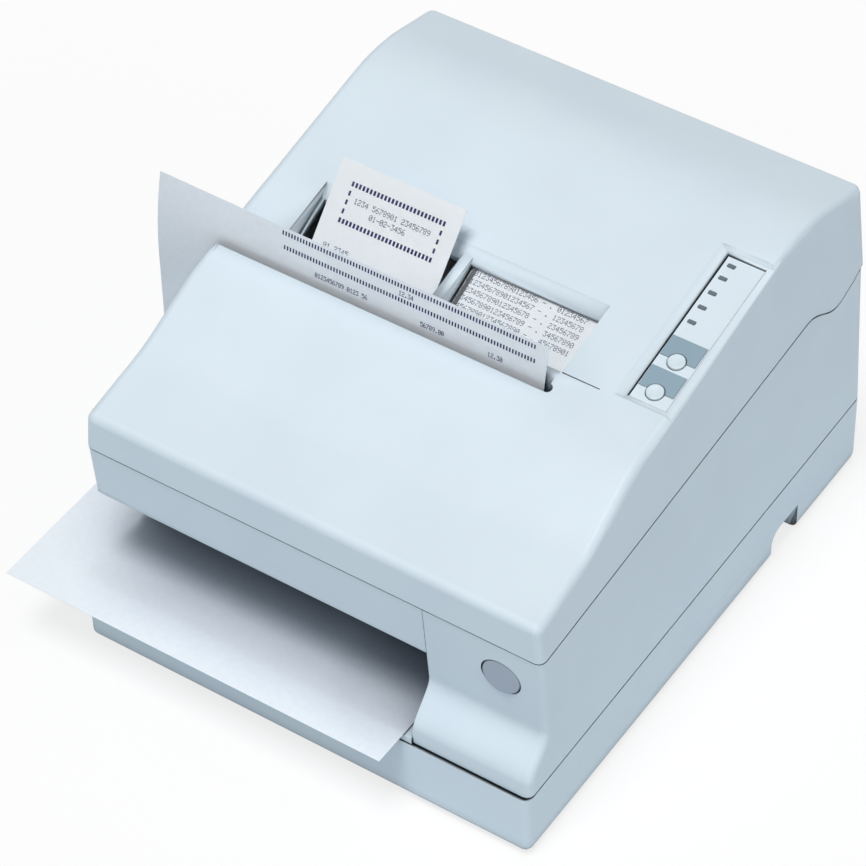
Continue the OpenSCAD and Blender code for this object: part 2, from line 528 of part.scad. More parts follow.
// ---- frames ----
frame_x = col_x + 0.2 + wall + 0.6;
frame_t = 1.5;
plate_y0 = yf + 80;
plate_z0 = 34;
module chassis_plate() color("#a9afb4") difference() {
    block(-hw + 6, hw - 6, slip_y - 4, bay_y1 + 14, plate_z0, plate_z0 + frame_t);
    for (i = [0:5]) rod_z(plate_z0 - 1, plate_z0 + 3, -75 + i * 30, slip_y + 120, 8);
    rod_x(jou_gx + 10 - play, jou_gx + 28 + play, drive_y(nip_out[0], slip_a), drive_z(nip_out[1], slip_a), motor_d + 2 * play);
}
module right_frame() color("#a9afb4") difference() {
    along_x(frame_x, frame_x + frame_t) polygon([[yf + 34, 70], [yf + 34, 120], [slip_y - 10, 140], [slip_y + 30, 140],
        [slip_y + 46, 120], [slip_y + 46, plate_z0 + frame_t], [slip_y - 20, plate_z0 + frame_t]]);
    rod_x(frame_x - 1, frame_x + 4, shaft_y, shaft_z, shaft_d + 2 * run);
    rod_x(frame_x - 1, frame_x + 4, rail_y, rail_z, rail_d + 2 * run);
    rod_x(frame_x - 1, frame_x + 4, feed_y, feed_z, 6 + 2 * run);
    rod_x(frame_x - 1, frame_x + 4, pinch_y, pinch_z, 4 + 2 * run);
    rod_x(frame_x - 1, frame_x + 4, nip_out[0], nip_out[1], 6 + 2 * run);
    rod_x(frame_x - 1, frame_x + 4, nip_in[0], nip_in[1], 4 + 2 * run);
    block(frame_x - 1, frame_x + 4, belt_y - 10, belt_y + 10, belt_z - 3, belt_z + 9);
}
module left_frame() color("#a9afb4") difference() {
    along_x(-hw + 5, -hw + 5 + frame_t) polygon(concat([[slip_y + 6, 130], [slip_y + 30, 140], [slip_y + 46, 120],
        [slip_y + 46, plate_z0 + frame_t], [slip_y - 20, plate_z0 + frame_t]],
        arc(arc_y, arc_z, slip_r + 3.6, -62, 0, 8), [[slip_y + 3.6, 104]]));
    rod_x(-hw, -hw + 9, feed_y, feed_z, 6 + 2 * run);
    rod_x(-hw, -hw + 9, pinch_y, pinch_z, 4 + 2 * run);
    rod_x(-hw, -hw + 9, nip_out[0], nip_out[1], 6 + 2 * run);
}
// the short frame that carries the shafts in front of the slip path
module head_frame() color("#a9afb4") {
    head_plate();
    idler_post();
}
module head_plate() difference() {
    along_x(-hw + 5, -hw + 5 + frame_t) polygon([[yf + 34, 84], [yf + 34, 116], [slip_y - 8, 128], [slip_y - 8, 84],
        [nip_in[0] - 1.9, nip_in[1] - 0.6], [nip_in[0] - 17.9, nip_in[1] - 6.6]]);
    rod_x(-hw, -hw + 9, shaft_y, shaft_z, shaft_d + 2 * run);
    rod_x(-hw, -hw + 9, rail_y, rail_z, rail_d + 2 * run);
    rod_x(-hw, -hw + 9, nip_in[0], nip_in[1], 4 + 2 * run);
}

// ---- carriage, print head and ribbon ----
shaft_y = slip_y - 36;
shaft_z = 84;
rail_y = slip_y - 66;
rail_z = 100;
rail_d = 5;
belt_y = slip_y - 58;
belt_z = 86;
belt_h = 6;
pulley_d = 14;
pulley_l = -hw + 22;
pulley_r = frame_x + 24;
module guide_shafts() color("#c5cace") {
    rod_x(-hw + 4, frame_x + 3.5, shaft_y, shaft_z, shaft_d);
    rod_x(-hw + 4, frame_x + 3.5, rail_y, rail_z, rail_d);
}
module carriage() color("#3b3f44") difference() {
    union() {
        rod_x(carriage_x - 20, carriage_x + 20, shaft_y, shaft_z, shaft_d + 8);
        along_x(carriage_x - 18, carriage_x + 18) polygon([[rail_y - 7, 94], [rail_y - 7, 97], [rail_y + 10, 97],
            [shaft_y - 6, 97], [shaft_y + 6, 97], [shaft_y + 7, 84], [shaft_y - 7, 84], [shaft_y - 7, 93.5], [rail_y - 7, 93.5]]);
        block(carriage_x - 5, carriage_x + 5, rail_y - 7, rail_y - 3.4, 94, 106);
        block(carriage_x - 5, carriage_x + 5, rail_y + 3.4, rail_y + 7, 94, 106);
        block(carriage_x - 6, carriage_x + 6, belt_y + pulley_d / 2 - 2.6, belt_y + pulley_d / 2 + 3, 84.6, 94);
    }
    rod_x(carriage_x - 30, carriage_x + 30, shaft_y, shaft_z, shaft_d + 2 * run);
    rod_x(carriage_x - 30, carriage_x + 30, rail_y, rail_z, rail_d + 2 * run);
    block(carriage_x - 30, carriage_x + 30, belt_y + pulley_d / 2 - 0.1, belt_y + pulley_d / 2 + 1.2, 84, belt_z + belt_h + 0.6);
}
module print_head() color("#4a4e53") {
    difference() {
        union() {
            rod_y(shaft_y - 14, shaft_y + 14, carriage_x, print_z + 1, 28);
            for (i = [0:6]) rod_y(shaft_y - 13 + i * 4, shaft_y - 11.4 + i * 4, carriage_x, print_z + 1, 34);
        }
        block(carriage_x - 30, carriage_x + 30, shaft_y - 30, shaft_y + 30, print_z - 30, 97);
        block(carriage_x - 30, carriage_x + 30, shaft_y - 30, shaft_y + 30, print_z + 15, 150);
    }
    along_x(carriage_x - 5, carriage_x + 5) polygon([[shaft_y + 13, print_z - 10], [slip_y - 7, print_z - 5], [slip_y - 5.2, print_z - 4],
        [slip_y - 5.2, print_z + 4], [slip_y - 7, print_z + 5], [shaft_y + 13, print_z + 10]]);
}
cass_y0 = yf + 22;
cass_z = 130;
cass_x0 = -hw + 8;
cass_x1 = frame_x - 3;
knob_x = cass_x0 + 18;
knob_y = cass_y0 + 22;
module ribbon_cassette() color("#2a2c2f") difference() {
    union() {
        block(cass_x0, cass_x1, cass_y0, slip_y - 38, cass_z, cass_z + 9);
        for (x = [cass_x0, cass_x1 - 9]) block(x, x + 9, slip_y - 39, slip_y - 7, cass_z, cass_z + 9);
        for (x = [cass_x0, cass_x1 - 9]) block(x, x + 9, slip_y - 14, slip_y - 7, print_z - 8, cass_z + 1);
    }
    for (x = [cass_x0, cass_x1 - 9]) block(x - 1, x + 10, slip_y - 11.6, slip_y - 9.6, print_z - 7, print_z + 8);
    rod_z(cass_z - 1, cass_z + 20, knob_x, knob_y, 6.2);
}
module ink_ribbon() color("#1d1a2b") block(cass_x0 + 0.5, cass_x1 - 0.5, slip_y - 4.5, slip_y - 4.3, print_z - 6.5, print_z + 6.5);
module ribbon_knob() color("#3f6fa8") {
    rod_z(cass_z + 9.2, cass_z + 12.5, knob_x, knob_y, 15);
    rod_z(cass_z + 1, cass_z + 9.4, knob_x, knob_y, 6);
    for (a = [0:30:330]) translate([knob_x, knob_y, cass_z + 9.2]) rotate(a) translate([7.2, 0, 0]) cylinder(d = 1.6, h = 3.3);
}
module belt_loop(o) offset(delta = o) hull() for (x = [pulley_l, pulley_r]) translate([x, belt_y]) circle(d = pulley_d);
module timing_belt() color("#232427") translate([0, 0, belt_z]) linear_extrude(belt_h) difference() {
    belt_loop(1);
    belt_loop(0.1);
}
module pulley(x) {
    rod_z(belt_z - 0.8, belt_z + belt_h + 0.8, x, belt_y, pulley_d);
    rod_z(belt_z - 1.8, belt_z - 0.8, x, belt_y, pulley_d + 3);
}
module drive_pulley() color("#b4b9bd") difference() {
    pulley(pulley_r);
    rod_z(belt_z - 5, belt_z + 20, pulley_r, belt_y, 4 + 2 * run);
}
module idler_pulley() color("#b4b9bd") difference() {
    pulley(pulley_l);
    rod_z(belt_z - 5, belt_z + 20, pulley_l, belt_y, 4 + 2 * run);
}
module carriage_motor() color("#55595e") {
    block(pulley_r - 21, pulley_r + 21, belt_y - 21, belt_y + 21, 46, 80);
    rod_z(80, 82, pulley_r, belt_y, 22);
    rod_z(82, belt_z + belt_h + 3, pulley_r, belt_y, 4);
}
module idler_post() {
    rod_z(belt_z - 3, belt_z + belt_h + 2, pulley_l, belt_y, 4);
    block(pulley_l - 8, pulley_l + 8, belt_y - 6, belt_y + 6, belt_z - 4.4, belt_z - 2.4);
    block(-hw + 5 + frame_t, pulley_l - 7, belt_y - 6, belt_y + 6, belt_z - 4.4, belt_z - 2.4);
}

// ---- receipt and journal feed ----
rec_x1 = rib_x0 - 0.5;
rec_x0 = rec_x1 - paper_w;
jou_x0 = rib_x1 + 1.4;
jou_x1 = jou_x0 + paper_w;
mid_x = (rec_x1 + jou_x0) / 2;
strip_y = slip_y + 4.6;
feed_y = strip_y + roller_d / 2 + play + paper_t;
feed_z = print_z - 22;
press_d = 7;
press_c = roller_d / 2 + 2 * play + paper_t + press_d / 2;
pinch_y = feed_y + press_c * cos(-115);
pinch_z = feed_z + press_c * sin(-115);
module roller(x0, x1, y, z, d, bore) difference() {
    rod_x(x0, x1, y, z, d);
    rod_x(x0 - 1, x1 + 1, y, z, bore);
}
module receipt_shaft() color("#e6e2d6") {
    rod_x(-hw + 4, mid_x - 0.6, feed_y, feed_z, 6);
    gear(rec_gx, rec_gx + 3, feed_y, feed_z, gear_n, feed_a, 5);
}
module journal_shaft() color("#e6e2d6") {
    rod_x(mid_x + 0.6, frame_x + 8, feed_y, feed_z, 6);
    gear(jou_gx, jou_gx + 3, feed_y, feed_z, gear_n, feed_a, 5);
}
module receipt_roller() color("#3a3b3d") roller(rec_x0 + 4, rec_x1 - 6, feed_y, feed_z, roller_d, 6);
module journal_roller() color("#3a3b3d") roller(jou_x0 + 6, jou_x1 - 6, feed_y, feed_z, roller_d, 6);
module receipt_pinch() color("#d8d8d4") {
    rod_x(rec_x0 + 8, rec_x1 - 12, pinch_y, pinch_z, press_d);
    rod_x(-hw + 4, mid_x - 0.6, pinch_y, pinch_z, 4);
}
module journal_pinch() color("#d8d8d4") {
    rod_x(jou_x0 + 12, jou_x1 - 10, pinch_y, pinch_z, press_d);
    rod_x(mid_x + 0.6, frame_x + 4, pinch_y, pinch_z, 4);
}
module slip_shaft() color("#e6e2d6") {
    rod_x(-hw + 4, frame_x + 12, nip_out[0], nip_out[1], 6);
    gear(jou_gx + 5, jou_gx + 8, nip_out[0], nip_out[1], gear_n, slip_a, 5);
}
module slip_rollers() color("#3a3b3d") for (x = nip_x) roller(x - 6, x + 6, nip_out[0], nip_out[1], roller_d, 6);
module slip_pinch() color("#d8d8d4") {
    for (x = nip_x) rod_x(x - 6, x + 6, nip_in[0], nip_in[1], pinch_d);
    rod_x(-hw + 4, frame_x + 4, nip_in[0], nip_in[1], 4);
}
// the hanger between the two stations that holds the inner ends of their shafts
module shaft_hanger() color("#4b5157") difference() {
    block(mid_x - 2.6, mid_x + 2.6, slip_y + 4.6, slip_y + 24, plate_z0 + frame_t, feed_z + 12);
    for (x = [mid_x - 4, mid_x + 0.4]) rod_x(x, x + 3.6, feed_y, feed_z, 6 + 2 * run);
    for (x = [mid_x - 4, mid_x + 0.4]) rod_x(x, x + 3.6, pinch_y, pinch_z, 4 + 2 * run);
    rod_x(mid_x - 4, mid_x + 4, nip_out[0], nip_out[1], roller_d + 2);
}
module platen() color("#6a6e72") {
    block(-hw + 7, frame_x - 0.6, strip_y + 0.5, strip_y + 3.5, print_z - 6, print_z + 6);
    block(-hw + 7, frame_x - 0.6, strip_y + 3.5, strip_y + 12, print_z + 2, print_z + 4);
}

// ---- gears ----
function gear_pts(n, m) = [for (i = [0:n - 1]) for (q = [[-0.30, -1.2], [-0.14, 0.9], [0.14, 0.9], [0.30, -1.2]])
    let (a = 360 * (i + q[0]) / n, r = m * n / 2 + m * q[1]) [r * cos(a), r * sin(a)]];
module gear(x0, x1, y, z, n, turn, bore) translate([x0, y, z]) rotate([90, 0, 90]) rotate(turn)
    linear_extrude(x1 - x0) difference() {
        polygon(gear_pts(n, gear_m));
        circle(d = bore);
    }
gear_c = gear_m * (gear_n + pinion_n) / 2 + 0.25;
feed_a = 20;
slip_a = -52;
rec_gx = -hw + 8;
jou_gx = frame_x + 3.2;
function drive_y(y, a) = y + gear_c * cos(a);
function drive_z(z, a) = z + gear_c * sin(a);
// turned so that a pinion tooth stands in a gap of its gear
function mesh_turn(a) = 180 + a + 180 / pinion_n;
module receipt_pinion() color("#c9a861") gear(rec_gx - 0.3, rec_gx + 3.3, drive_y(feed_y, feed_a), drive_z(feed_z, feed_a), pinion_n, mesh_turn(feed_a), 2 + 2 * run);
module journal_pinion() color("#c9a861") gear(jou_gx - 0.3, jou_gx + 3.3, drive_y(feed_y, feed_a), drive_z(feed_z, feed_a), pinion_n, mesh_turn(feed_a), 2 + 2 * run);
module slip_pinion() color("#c9a861") gear(jou_gx + 4.7, jou_gx + 8.3, drive_y(nip_out[0], slip_a), drive_z(nip_out[1], slip_a), pinion_n, mesh_turn(slip_a), 2 + 2 * run);
motor_d = 18;
module motor(x0, x1, y, z, tip) {
    rod_x(x0, x1, y, z, motor_d);
    rod_x(min(tip, x0), max(tip, x1), y, z, 2);
}
module receipt_motor() color("#55595e") motor(rec_gx + 5, rec_gx + 23, drive_y(feed_y, feed_a), drive_z(feed_z, feed_a), rec_gx - 1);
module journal_motor() color("#55595e") motor(jou_gx + 5, jou_gx + 23, drive_y(feed_y, feed_a), drive_z(feed_z, feed_a), jou_gx - 1);
module slip_motor() color("#55595e") motor(jou_gx + 10, jou_gx + 28, drive_y(nip_out[0], slip_a), drive_z(nip_out[1], slip_a), jou_gx + 4);

// ---- rolls and take-up ----
roll_y = hinge_y - 50;
roll_z = plate_z0 + frame_t + 6 + roll_d / 2;
spindle_d = 12;
bin_t = 2.4;
bin_y1 = roll_y + roll_d / 2 + 2;
bin_y0 = roll_y - roll_d / 2 - 2;
plates_x = [rec_x0 - 1.5 - bin_t, mid_x - bin_t / 2, jou_x1 + 1.5];
module roll_bin() color("#6e747a") difference() {
    union() {
        for (x = plates_x) along_x(x, x + bin_t) polygon([[bin_y0 + 8, plate_z0 + frame_t], [bin_y1, plate_z0 + frame_t],
            [bin_y1, roll_z + 10], [roll_y + 10, roll_z + 24], [spool_y + 12, spool_z + 8], [spool_y - 8, spool_z + 8],
            [spool_y - 12, spool_z - 14], [bin_y0 + 8, roll_z]]);
        block(plates_x[0], plates_x[2] + bin_t, bin_y0 + 8, bin_y1, plate_z0 + frame_t, plate_z0 + frame_t + 2);
        block(plates_x[0], plates_x[2] + bin_t, bin_y1, bin_y1 + 2, plate_z0 + frame_t, roll_z + 10);
    }
    for (x = plates_x) rod_x(x - 1, x + bin_t + 1, roll_y, roll_z, spindle_d + 2 * run);
    for (x = plates_x) rod_x(x - 1, x + bin_t + 1, spool_y, spool_z, 8 + 2 * run);
}
module roll_spindle() color("#e3e3df") rod_x(plates_x[0] - 1, plates_x[2] + bin_t + 1, roll_y, roll_z, spindle_d);
module receipt_roll() color("#f2f4f5") roller(rec_x0, rec_x1, roll_y, roll_z, roll_d, spindle_d + 2 * run);
module journal_roll() color("#f2f4f5") roller(jou_x0, jou_x1, roll_y, roll_z, roll_d, spindle_d + 2 * run);
spool_y = roll_y - 34;
spool_z = hinge_z + 10;
spool_d = 30;
module take_up_spool() color("#4b5157") {
    rod_x(plates_x[1] - 3, plates_x[2] + bin_t + 3, spool_y, spool_z, 8);
    for (x = [jou_x0 - 1.3, jou_x1 + 0.3]) rod_x(x, x + 1, spool_y, spool_z, 42);
    rod_x(jou_x0, jou_x1, spool_y, spool_z, spool_d);
}

// ---- loaded paper ----
bend_r = 36;
bend_y = strip_y + bend_r;
bend_z = print_z + 25;
lean = [sin(receipt_lean), cos(receipt_lean)];
bend_end = [bend_y - bend_r * lean[1], bend_z + bend_r * lean[0]];
// from the roll, round the feed roller and up
function feed_pts(o) = concat([[roll_y + (roll_d / 2 + play + paper_t - o) * cos(250), roll_z + (roll_d / 2 + play + paper_t - o) * sin(250)]],
    arc(feed_y, feed_z, roller_d / 2 + play + paper_t - o, -110, -180, 6));
function receipt_pts(o) = concat(feed_pts(o), [[strip_y + o, feed_z + 4]],
    arc(bend_y, bend_z, bend_r - o, 180, 180 - receipt_lean, 8), [bend_end + receipt_out * lean + o * [lean[1], -lean[0]]]);
module band(a, b) polygon(concat(a, [for (i = [1:len(b)]) b[len(b) - i]]));
module receipt_strip() color("#eef4f8") along_x(rec_x0, rec_x1) band(receipt_pts(0), receipt_pts(paper_t));
jb_r = 10;
jw_y0 = recess_y0 + 4;
jw_z0 = win_z(jw_y0, ledge + pane_t + 0.6);
jw_len = (recess_y1 + 1.2 - jw_y0) / cos(win_a);
jn = [sin(win_a), cos(win_a)];
jou_c = [jw_y0 + jb_r * jn[0], jw_z0 - jb_r * jn[1]];
jou_e = [jw_y0 + jw_len * jn[1], jw_z0 + jw_len * jn[0]];
jou_f = [jou_e[0] + 12 * jn[0], jou_e[1] - 12 * jn[1]];
function journal_pts(o) = concat(feed_pts(o), [[strip_y + o, print_z + 14]],
    arc(jou_c[0], jou_c[1], jb_r - o, 172, 90 + win_a, 6), arc(jou_f[0], jou_f[1], 12 - o, 90 + win_a, 86, 4),
    [[spool_y - 1, spool_z + spool_d / 2 + 1 - o]]);
module journal_strip() color("#eef4f8") along_x(jou_x0, jou_x1) band(journal_pts(0), journal_pts(paper_t));
module journal_plate() color("#8b9197") along_x(jou_x0 - 1, jou_x1 + 1) band(
    concat(arc(jou_c[0], jou_c[1], jb_r - 0.7, 172, 90 + win_a, 6), arc(jou_f[0], jou_f[1], 11.3, 90 + win_a, 60, 4)),
    concat(arc(jou_c[0], jou_c[1], jb_r - 2.2, 172, 90 + win_a, 6), arc(jou_f[0], jou_f[1], 9.8, 90 + win_a, 60, 4)));
module tear_bar() color("#c5cace") along_x(rec_x0 - 2, rec_x1 + 1) polygon([bend_end + [4, -9], bend_end + [2.6, -2], bend_end + [3.4, -2], bend_end + [6, -9]]);
slip_top_r = 198;
slip_top_z = 150;
slip_top_a = 14;
function slip_pts(o) = concat([[arc_y - slip_front, slip_z - o]], arc(arc_y, arc_z, slip_r + o, -90, 0, 16),
    arc(slip_y + slip_top_r, slip_top_z, slip_top_r - o, 180, 180 - slip_top_a, 6));
slip_x1 = slot_x - 4;
module slip_sheet() color("#eef4f8") along_x(slip_x1 - slip_w, slip_x1) band(slip_pts(-paper_t / 2), slip_pts(paper_t / 2));

base_case();
rubber_feet();
screws();
main_board();
power_socket();
data_sockets();
main_body();
slip_bar();
slip_table();
chassis_plate();
right_frame();
left_frame();
head_frame();
guide_shafts();
carriage_motor();
platen();
shaft_hanger();
receipt_motor();
journal_motor();
slip_motor();
roll_bin();
roll_spindle();
journal_plate();
tear_bar();
hinge_pins();
power_switch();
receipt_strip();
journal_strip();
slip_sheet();
ribbon_cassette();
ink_ribbon();
timing_belt();
top_cover();
journal_window();
panel_plate();
feed_labels();
status_lamps();
receipt_feed_button();
journal_feed_button();
power_button();
carriage();
print_head();
drive_pulley();
idler_pulley();
ribbon_knob();
receipt_shaft();
receipt_roller();
receipt_pinion();
receipt_pinch();
journal_shaft();
journal_roller();
journal_pinion();
journal_pinch();
slip_shaft();
slip_rollers();
slip_pinion();
slip_pinch();
receipt_roll();
journal_roll();
take_up_spool();
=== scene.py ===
"""Looks of a desktop dot matrix printer with receipt, journal and slip stations.

Lengths are in metres. X runs to the printer's right, Y to its rear and Z up.
"""

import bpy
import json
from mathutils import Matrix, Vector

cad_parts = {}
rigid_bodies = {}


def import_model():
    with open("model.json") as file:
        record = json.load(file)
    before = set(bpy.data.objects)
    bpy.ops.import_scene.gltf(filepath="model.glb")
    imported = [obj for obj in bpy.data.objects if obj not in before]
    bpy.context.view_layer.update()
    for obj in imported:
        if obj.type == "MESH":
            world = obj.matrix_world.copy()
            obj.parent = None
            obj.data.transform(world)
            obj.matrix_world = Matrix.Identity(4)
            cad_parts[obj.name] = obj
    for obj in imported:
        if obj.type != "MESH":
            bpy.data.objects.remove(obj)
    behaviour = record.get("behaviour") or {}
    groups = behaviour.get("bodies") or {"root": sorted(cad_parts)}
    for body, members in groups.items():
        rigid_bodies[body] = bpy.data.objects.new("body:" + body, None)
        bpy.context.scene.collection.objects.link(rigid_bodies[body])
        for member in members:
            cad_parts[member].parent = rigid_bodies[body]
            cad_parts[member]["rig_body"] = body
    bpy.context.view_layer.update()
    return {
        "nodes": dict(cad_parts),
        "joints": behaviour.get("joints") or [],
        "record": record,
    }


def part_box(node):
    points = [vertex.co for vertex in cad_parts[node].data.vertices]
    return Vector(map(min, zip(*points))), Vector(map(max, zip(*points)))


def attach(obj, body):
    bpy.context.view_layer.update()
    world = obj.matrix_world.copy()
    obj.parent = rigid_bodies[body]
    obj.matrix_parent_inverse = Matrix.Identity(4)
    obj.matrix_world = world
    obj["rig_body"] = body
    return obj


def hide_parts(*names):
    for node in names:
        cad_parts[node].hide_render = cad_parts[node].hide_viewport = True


bl_info = {
    "name": "Dot matrix printer",
    "version": (1, 0, 0),
    "blender": (4, 5, 0),
    "location": "3D View > Sidebar > Printer",
    "description": "Gives the printer's frame its moulded shells, papers, panel and stage",
    "category": "Object",
}

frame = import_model()

import json
import math

import bmesh
import bpy
import numpy as np
from bpy.props import FloatProperty, FloatVectorProperty, PointerProperty, StringProperty
from mathutils import Matrix, Vector

MM = 0.001
RIM_MM = 0.8  # how far from a sharp edge a gap is still looked for by the painted gap shade
THREAD_MM = 0.3  # thread spacing of the ribbon's weave as drawn
MOUTH_LOW, MOUTH_TOP = 0.06, 0.09  # heights between which the slip leaves the painted shade of the mouth
SLOT_SHADE_MM = 2.5  # reach of the painted shade on the slip above its mouth
FLOOR_Z = -0.0002  # just below the feet's faces
WELD = 2e-6  # points closer than this become one
LEVEL = 4e-5  # a point this near to a plane lies in it
MOST_FILLS = 12  # flat sides of one shell that are filled again at most


# ---- colours and nodes ----
def linear(code):
    """Linear RGBA of an sRGB hex colour: each channel is undone from the sRGB curve."""
    c = np.array([int(code[i : i + 2], 16) / 255 for i in (1, 3, 5)])
    c = np.where(c <= 0.04045, c / 12.92, ((c + 0.055) / 1.055) ** 2.4)
    return (*c.tolist(), 1.0)


def add(tree, kind, sockets=None, **settings):
    """Adds a node, gives it its settings, and sets or links its input sockets."""
    node = tree.nodes.new(kind)
    for key, value in settings.items():
        setattr(node, key, value)
    for key, value in (sockets or {}).items():
        if isinstance(value, bpy.types.NodeSocket):
            tree.links.new(value, node.inputs[key])
        else:
            node.inputs[key].default_value = value
    return node


def new_material(name):
    """An empty node material: (material, tree, output)."""
    material = bpy.data.materials.new(name)
    material.use_nodes = True
    material.node_tree.nodes.clear()
    return material, material.node_tree, add(material.node_tree, "ShaderNodeOutputMaterial")


def grain(tree, size_mm, detail=2.0):
    """A noise pattern whose spots are about size_mm across."""
    where = add(tree, "ShaderNodeTexCoord").outputs["Object"]
    return add(tree, "ShaderNodeTexNoise", {"Vector": where, "Scale": 1000 / (2 * size_mm), "Detail": detail})


def mottled(tree, code_a, code_b, fac, low=0.35, high=0.65):
    """A colour that wanders between two hex colours with a pattern."""
    ramp = add(tree, "ShaderNodeValToRGB", {"Fac": fac})
    ramp.color_ramp.elements[0].position = low
    ramp.color_ramp.elements[0].color = linear(code_a)
    ramp.color_ramp.elements[1].position = high
    ramp.color_ramp.elements[1].color = linear(code_b)
    return ramp.outputs["Color"]


def painted_shade(tree, colour, reach, dark, low, high, samples, normal=None):
    """Painted shade: a colour that darkens where the surface is shut in within reach.

    It is multiplied by dark at openness low and stays as it is at openness high.
    """
    sockets = {"Distance": reach}
    if normal is not None:
        sockets["Normal"] = normal
    near = add(tree, "ShaderNodeAmbientOcclusion", sockets, samples=samples)
    shade = mottled(tree, dark, "#FFFFFF", near.outputs["AO"], low, high)
    return add(tree, "ShaderNodeVectorMath", {0: colour, 1: shade}, operation="MULTIPLY").outputs["Vector"]


def moulded_abs(name, code, code_b, roughness=0.5, grain_mm=0.45, depth_mm=0.012, edge_mm=0.0, gap_shade_mm=0.0,
                hollow_shade_mm=0.0):
    """Injection-moulded ABS with a spark-eroded grain: soft wide highlights and a faint mottling.

    edge_mm softens sharp edges, gap_shade_mm paints shade into seams and gaps, and hollow_shade_mm paints
    shade into wider hollows.
    """
    material, tree, out = new_material(name)
    fine = grain(tree, grain_mm, 3.0)
    wide = grain(tree, 24.0, 2.0)
    sockets = {"Height": fine.outputs["Fac"], "Strength": 0.35, "Distance": depth_mm * MM}
    if edge_mm:
        edge = add(tree, "ShaderNodeBevel", {"Radius": edge_mm * MM}, samples=6)
        sockets["Normal"] = edge.outputs["Normal"]
    bump = add(tree, "ShaderNodeBump", sockets)
    rough = add(tree, "ShaderNodeMapRange", {
        "Value": fine.outputs["Fac"], "To Min": roughness - 0.05, "To Max": roughness + 0.07})
    colour = mottled(tree, code, code_b, wide.outputs["Fac"])
    if gap_shade_mm:
        # painted shade in seams, gaps and inside corners: ambient occlusion darkens the colour towards
        # #171E24
        rim = add(tree, "ShaderNodeBevel", {"Radius": RIM_MM * MM}, samples=6).outputs["Normal"]
        colour = painted_shade(tree, colour, gap_shade_mm * MM, "#171E24", 0.42, 0.82, 6, rim)
    # painted shade in wider hollows, recesses, the slot and next to the floor: ambient occlusion darkens the
    # colour towards #43525B
    if hollow_shade_mm:
        colour = painted_shade(tree, colour, hollow_shade_mm * MM, "#43525B", 0.25, 0.95, 8)
    shader = add(tree, "ShaderNodeBsdfPrincipled", {
        "Base Color": colour, "Roughness": rough.outputs["Result"], "IOR": 1.53,
        "Normal": bump.outputs["Normal"]})
    tree.links.new(shader.outputs["BSDF"], out.inputs["Surface"])
    return material


def metal(name, code, code_b, roughness, stretch=(1, 1, 1), grain_mm=0.8, bump_mm=0.004):
    """A bare or plated metal: its grain is a noise stretched along the way it was brushed or rolled."""
    material, tree, out = new_material(name)
    where = add(tree, "ShaderNodeTexCoord").outputs["Object"]
    turn = add(tree, "ShaderNodeMapping", {"Vector": where, "Scale": stretch})
    fine = add(tree, "ShaderNodeTexNoise", {
        "Vector": turn.outputs["Vector"], "Scale": 1000 / (2 * grain_mm), "Detail": 3.0})
    bump = add(tree, "ShaderNodeBump", {
        "Height": fine.outputs["Fac"], "Strength": 0.4, "Distance": bump_mm * MM})
    rough = add(tree, "ShaderNodeMapRange", {
        "Value": fine.outputs["Fac"], "To Min": roughness - 0.08, "To Max": roughness + 0.1})
    shader = add(tree, "ShaderNodeBsdfPrincipled", {
        "Base Color": mottled(tree, code, code_b, fine.outputs["Fac"]), "Metallic": 1.0,
        "Roughness": rough.outputs["Result"], "Normal": bump.outputs["Normal"]})
    tree.links.new(shader.outputs["BSDF"], out.inputs["Surface"])
    return material


def vulcanised_rubber(name, code, code_b):
    """Black rubber: dull, with a fine ground grain that catches a grey sheen at its edges."""
    material, tree, out = new_material(name)
    fine = grain(tree, 0.3, 4.0)
    bump = add(tree, "ShaderNodeBump", {
        "Height": fine.outputs["Fac"], "Strength": 0.5, "Distance": 0.02 * MM})
    shader = add(tree, "ShaderNodeBsdfPrincipled", {
        "Base Color": mottled(tree, code, code_b, fine.outputs["Fac"]), "Roughness": 0.78, "IOR": 1.52,
        "Sheen Weight": 0.2, "Sheen Roughness": 0.6, "Normal": bump.outputs["Normal"]})
    tree.links.new(shader.outputs["BSDF"], out.inputs["Surface"])
    return material


def bond_paper(name, code, code_b, shade_mm=0.0):
    """Uncoated bond paper: a matt sheet with clouded fibres that lets a little light through.

    With shade_mm a shade is painted on it low down, where it runs into the printer's mouth, and within 2.5 mm
    of its slot.
    """
    material, tree, out = new_material(name)
    cloud = grain(tree, 1.6, 5.0)
    fibre = grain(tree, 0.25, 2.0)
    bump = add(tree, "ShaderNodeBump", {
        "Height": fibre.outputs["Fac"], "Strength": 0.25, "Distance": 0.01 * MM})
    colour = mottled(tree, code, code_b, cloud.outputs["Fac"])
    if shade_mm:
        where = add(tree, "ShaderNodeTexCoord").outputs["Object"]
        height = add(tree, "ShaderNodeSeparateXYZ", {"Vector": where}).outputs["Z"]
        reach = add(tree, "ShaderNodeMapRange", {
            "Value": height, "From Min": MOUTH_TOP, "From Max": MOUTH_LOW,
            "To Min": SLOT_SHADE_MM * MM, "To Max": shade_mm * MM})
        # painted shade: ambient occlusion darkens the sheet towards #585B64 in the mouth and beside the slot
        colour = painted_shade(tree, colour, reach.outputs["Result"], "#585B64", 0.15, 0.9, 24)
    shader = add(tree, "ShaderNodeBsdfPrincipled", {
        "Base Color": colour, "Roughness": 0.85, "IOR": 1.45, "Subsurface Weight": 0.4,
        "Subsurface Radius": (1, 1, 1), "Subsurface Scale": 0.8 * MM, "Normal": bump.outputs["Normal"]})
    tree.links.new(shader.outputs["BSDF"], out.inputs["Surface"])
    return material


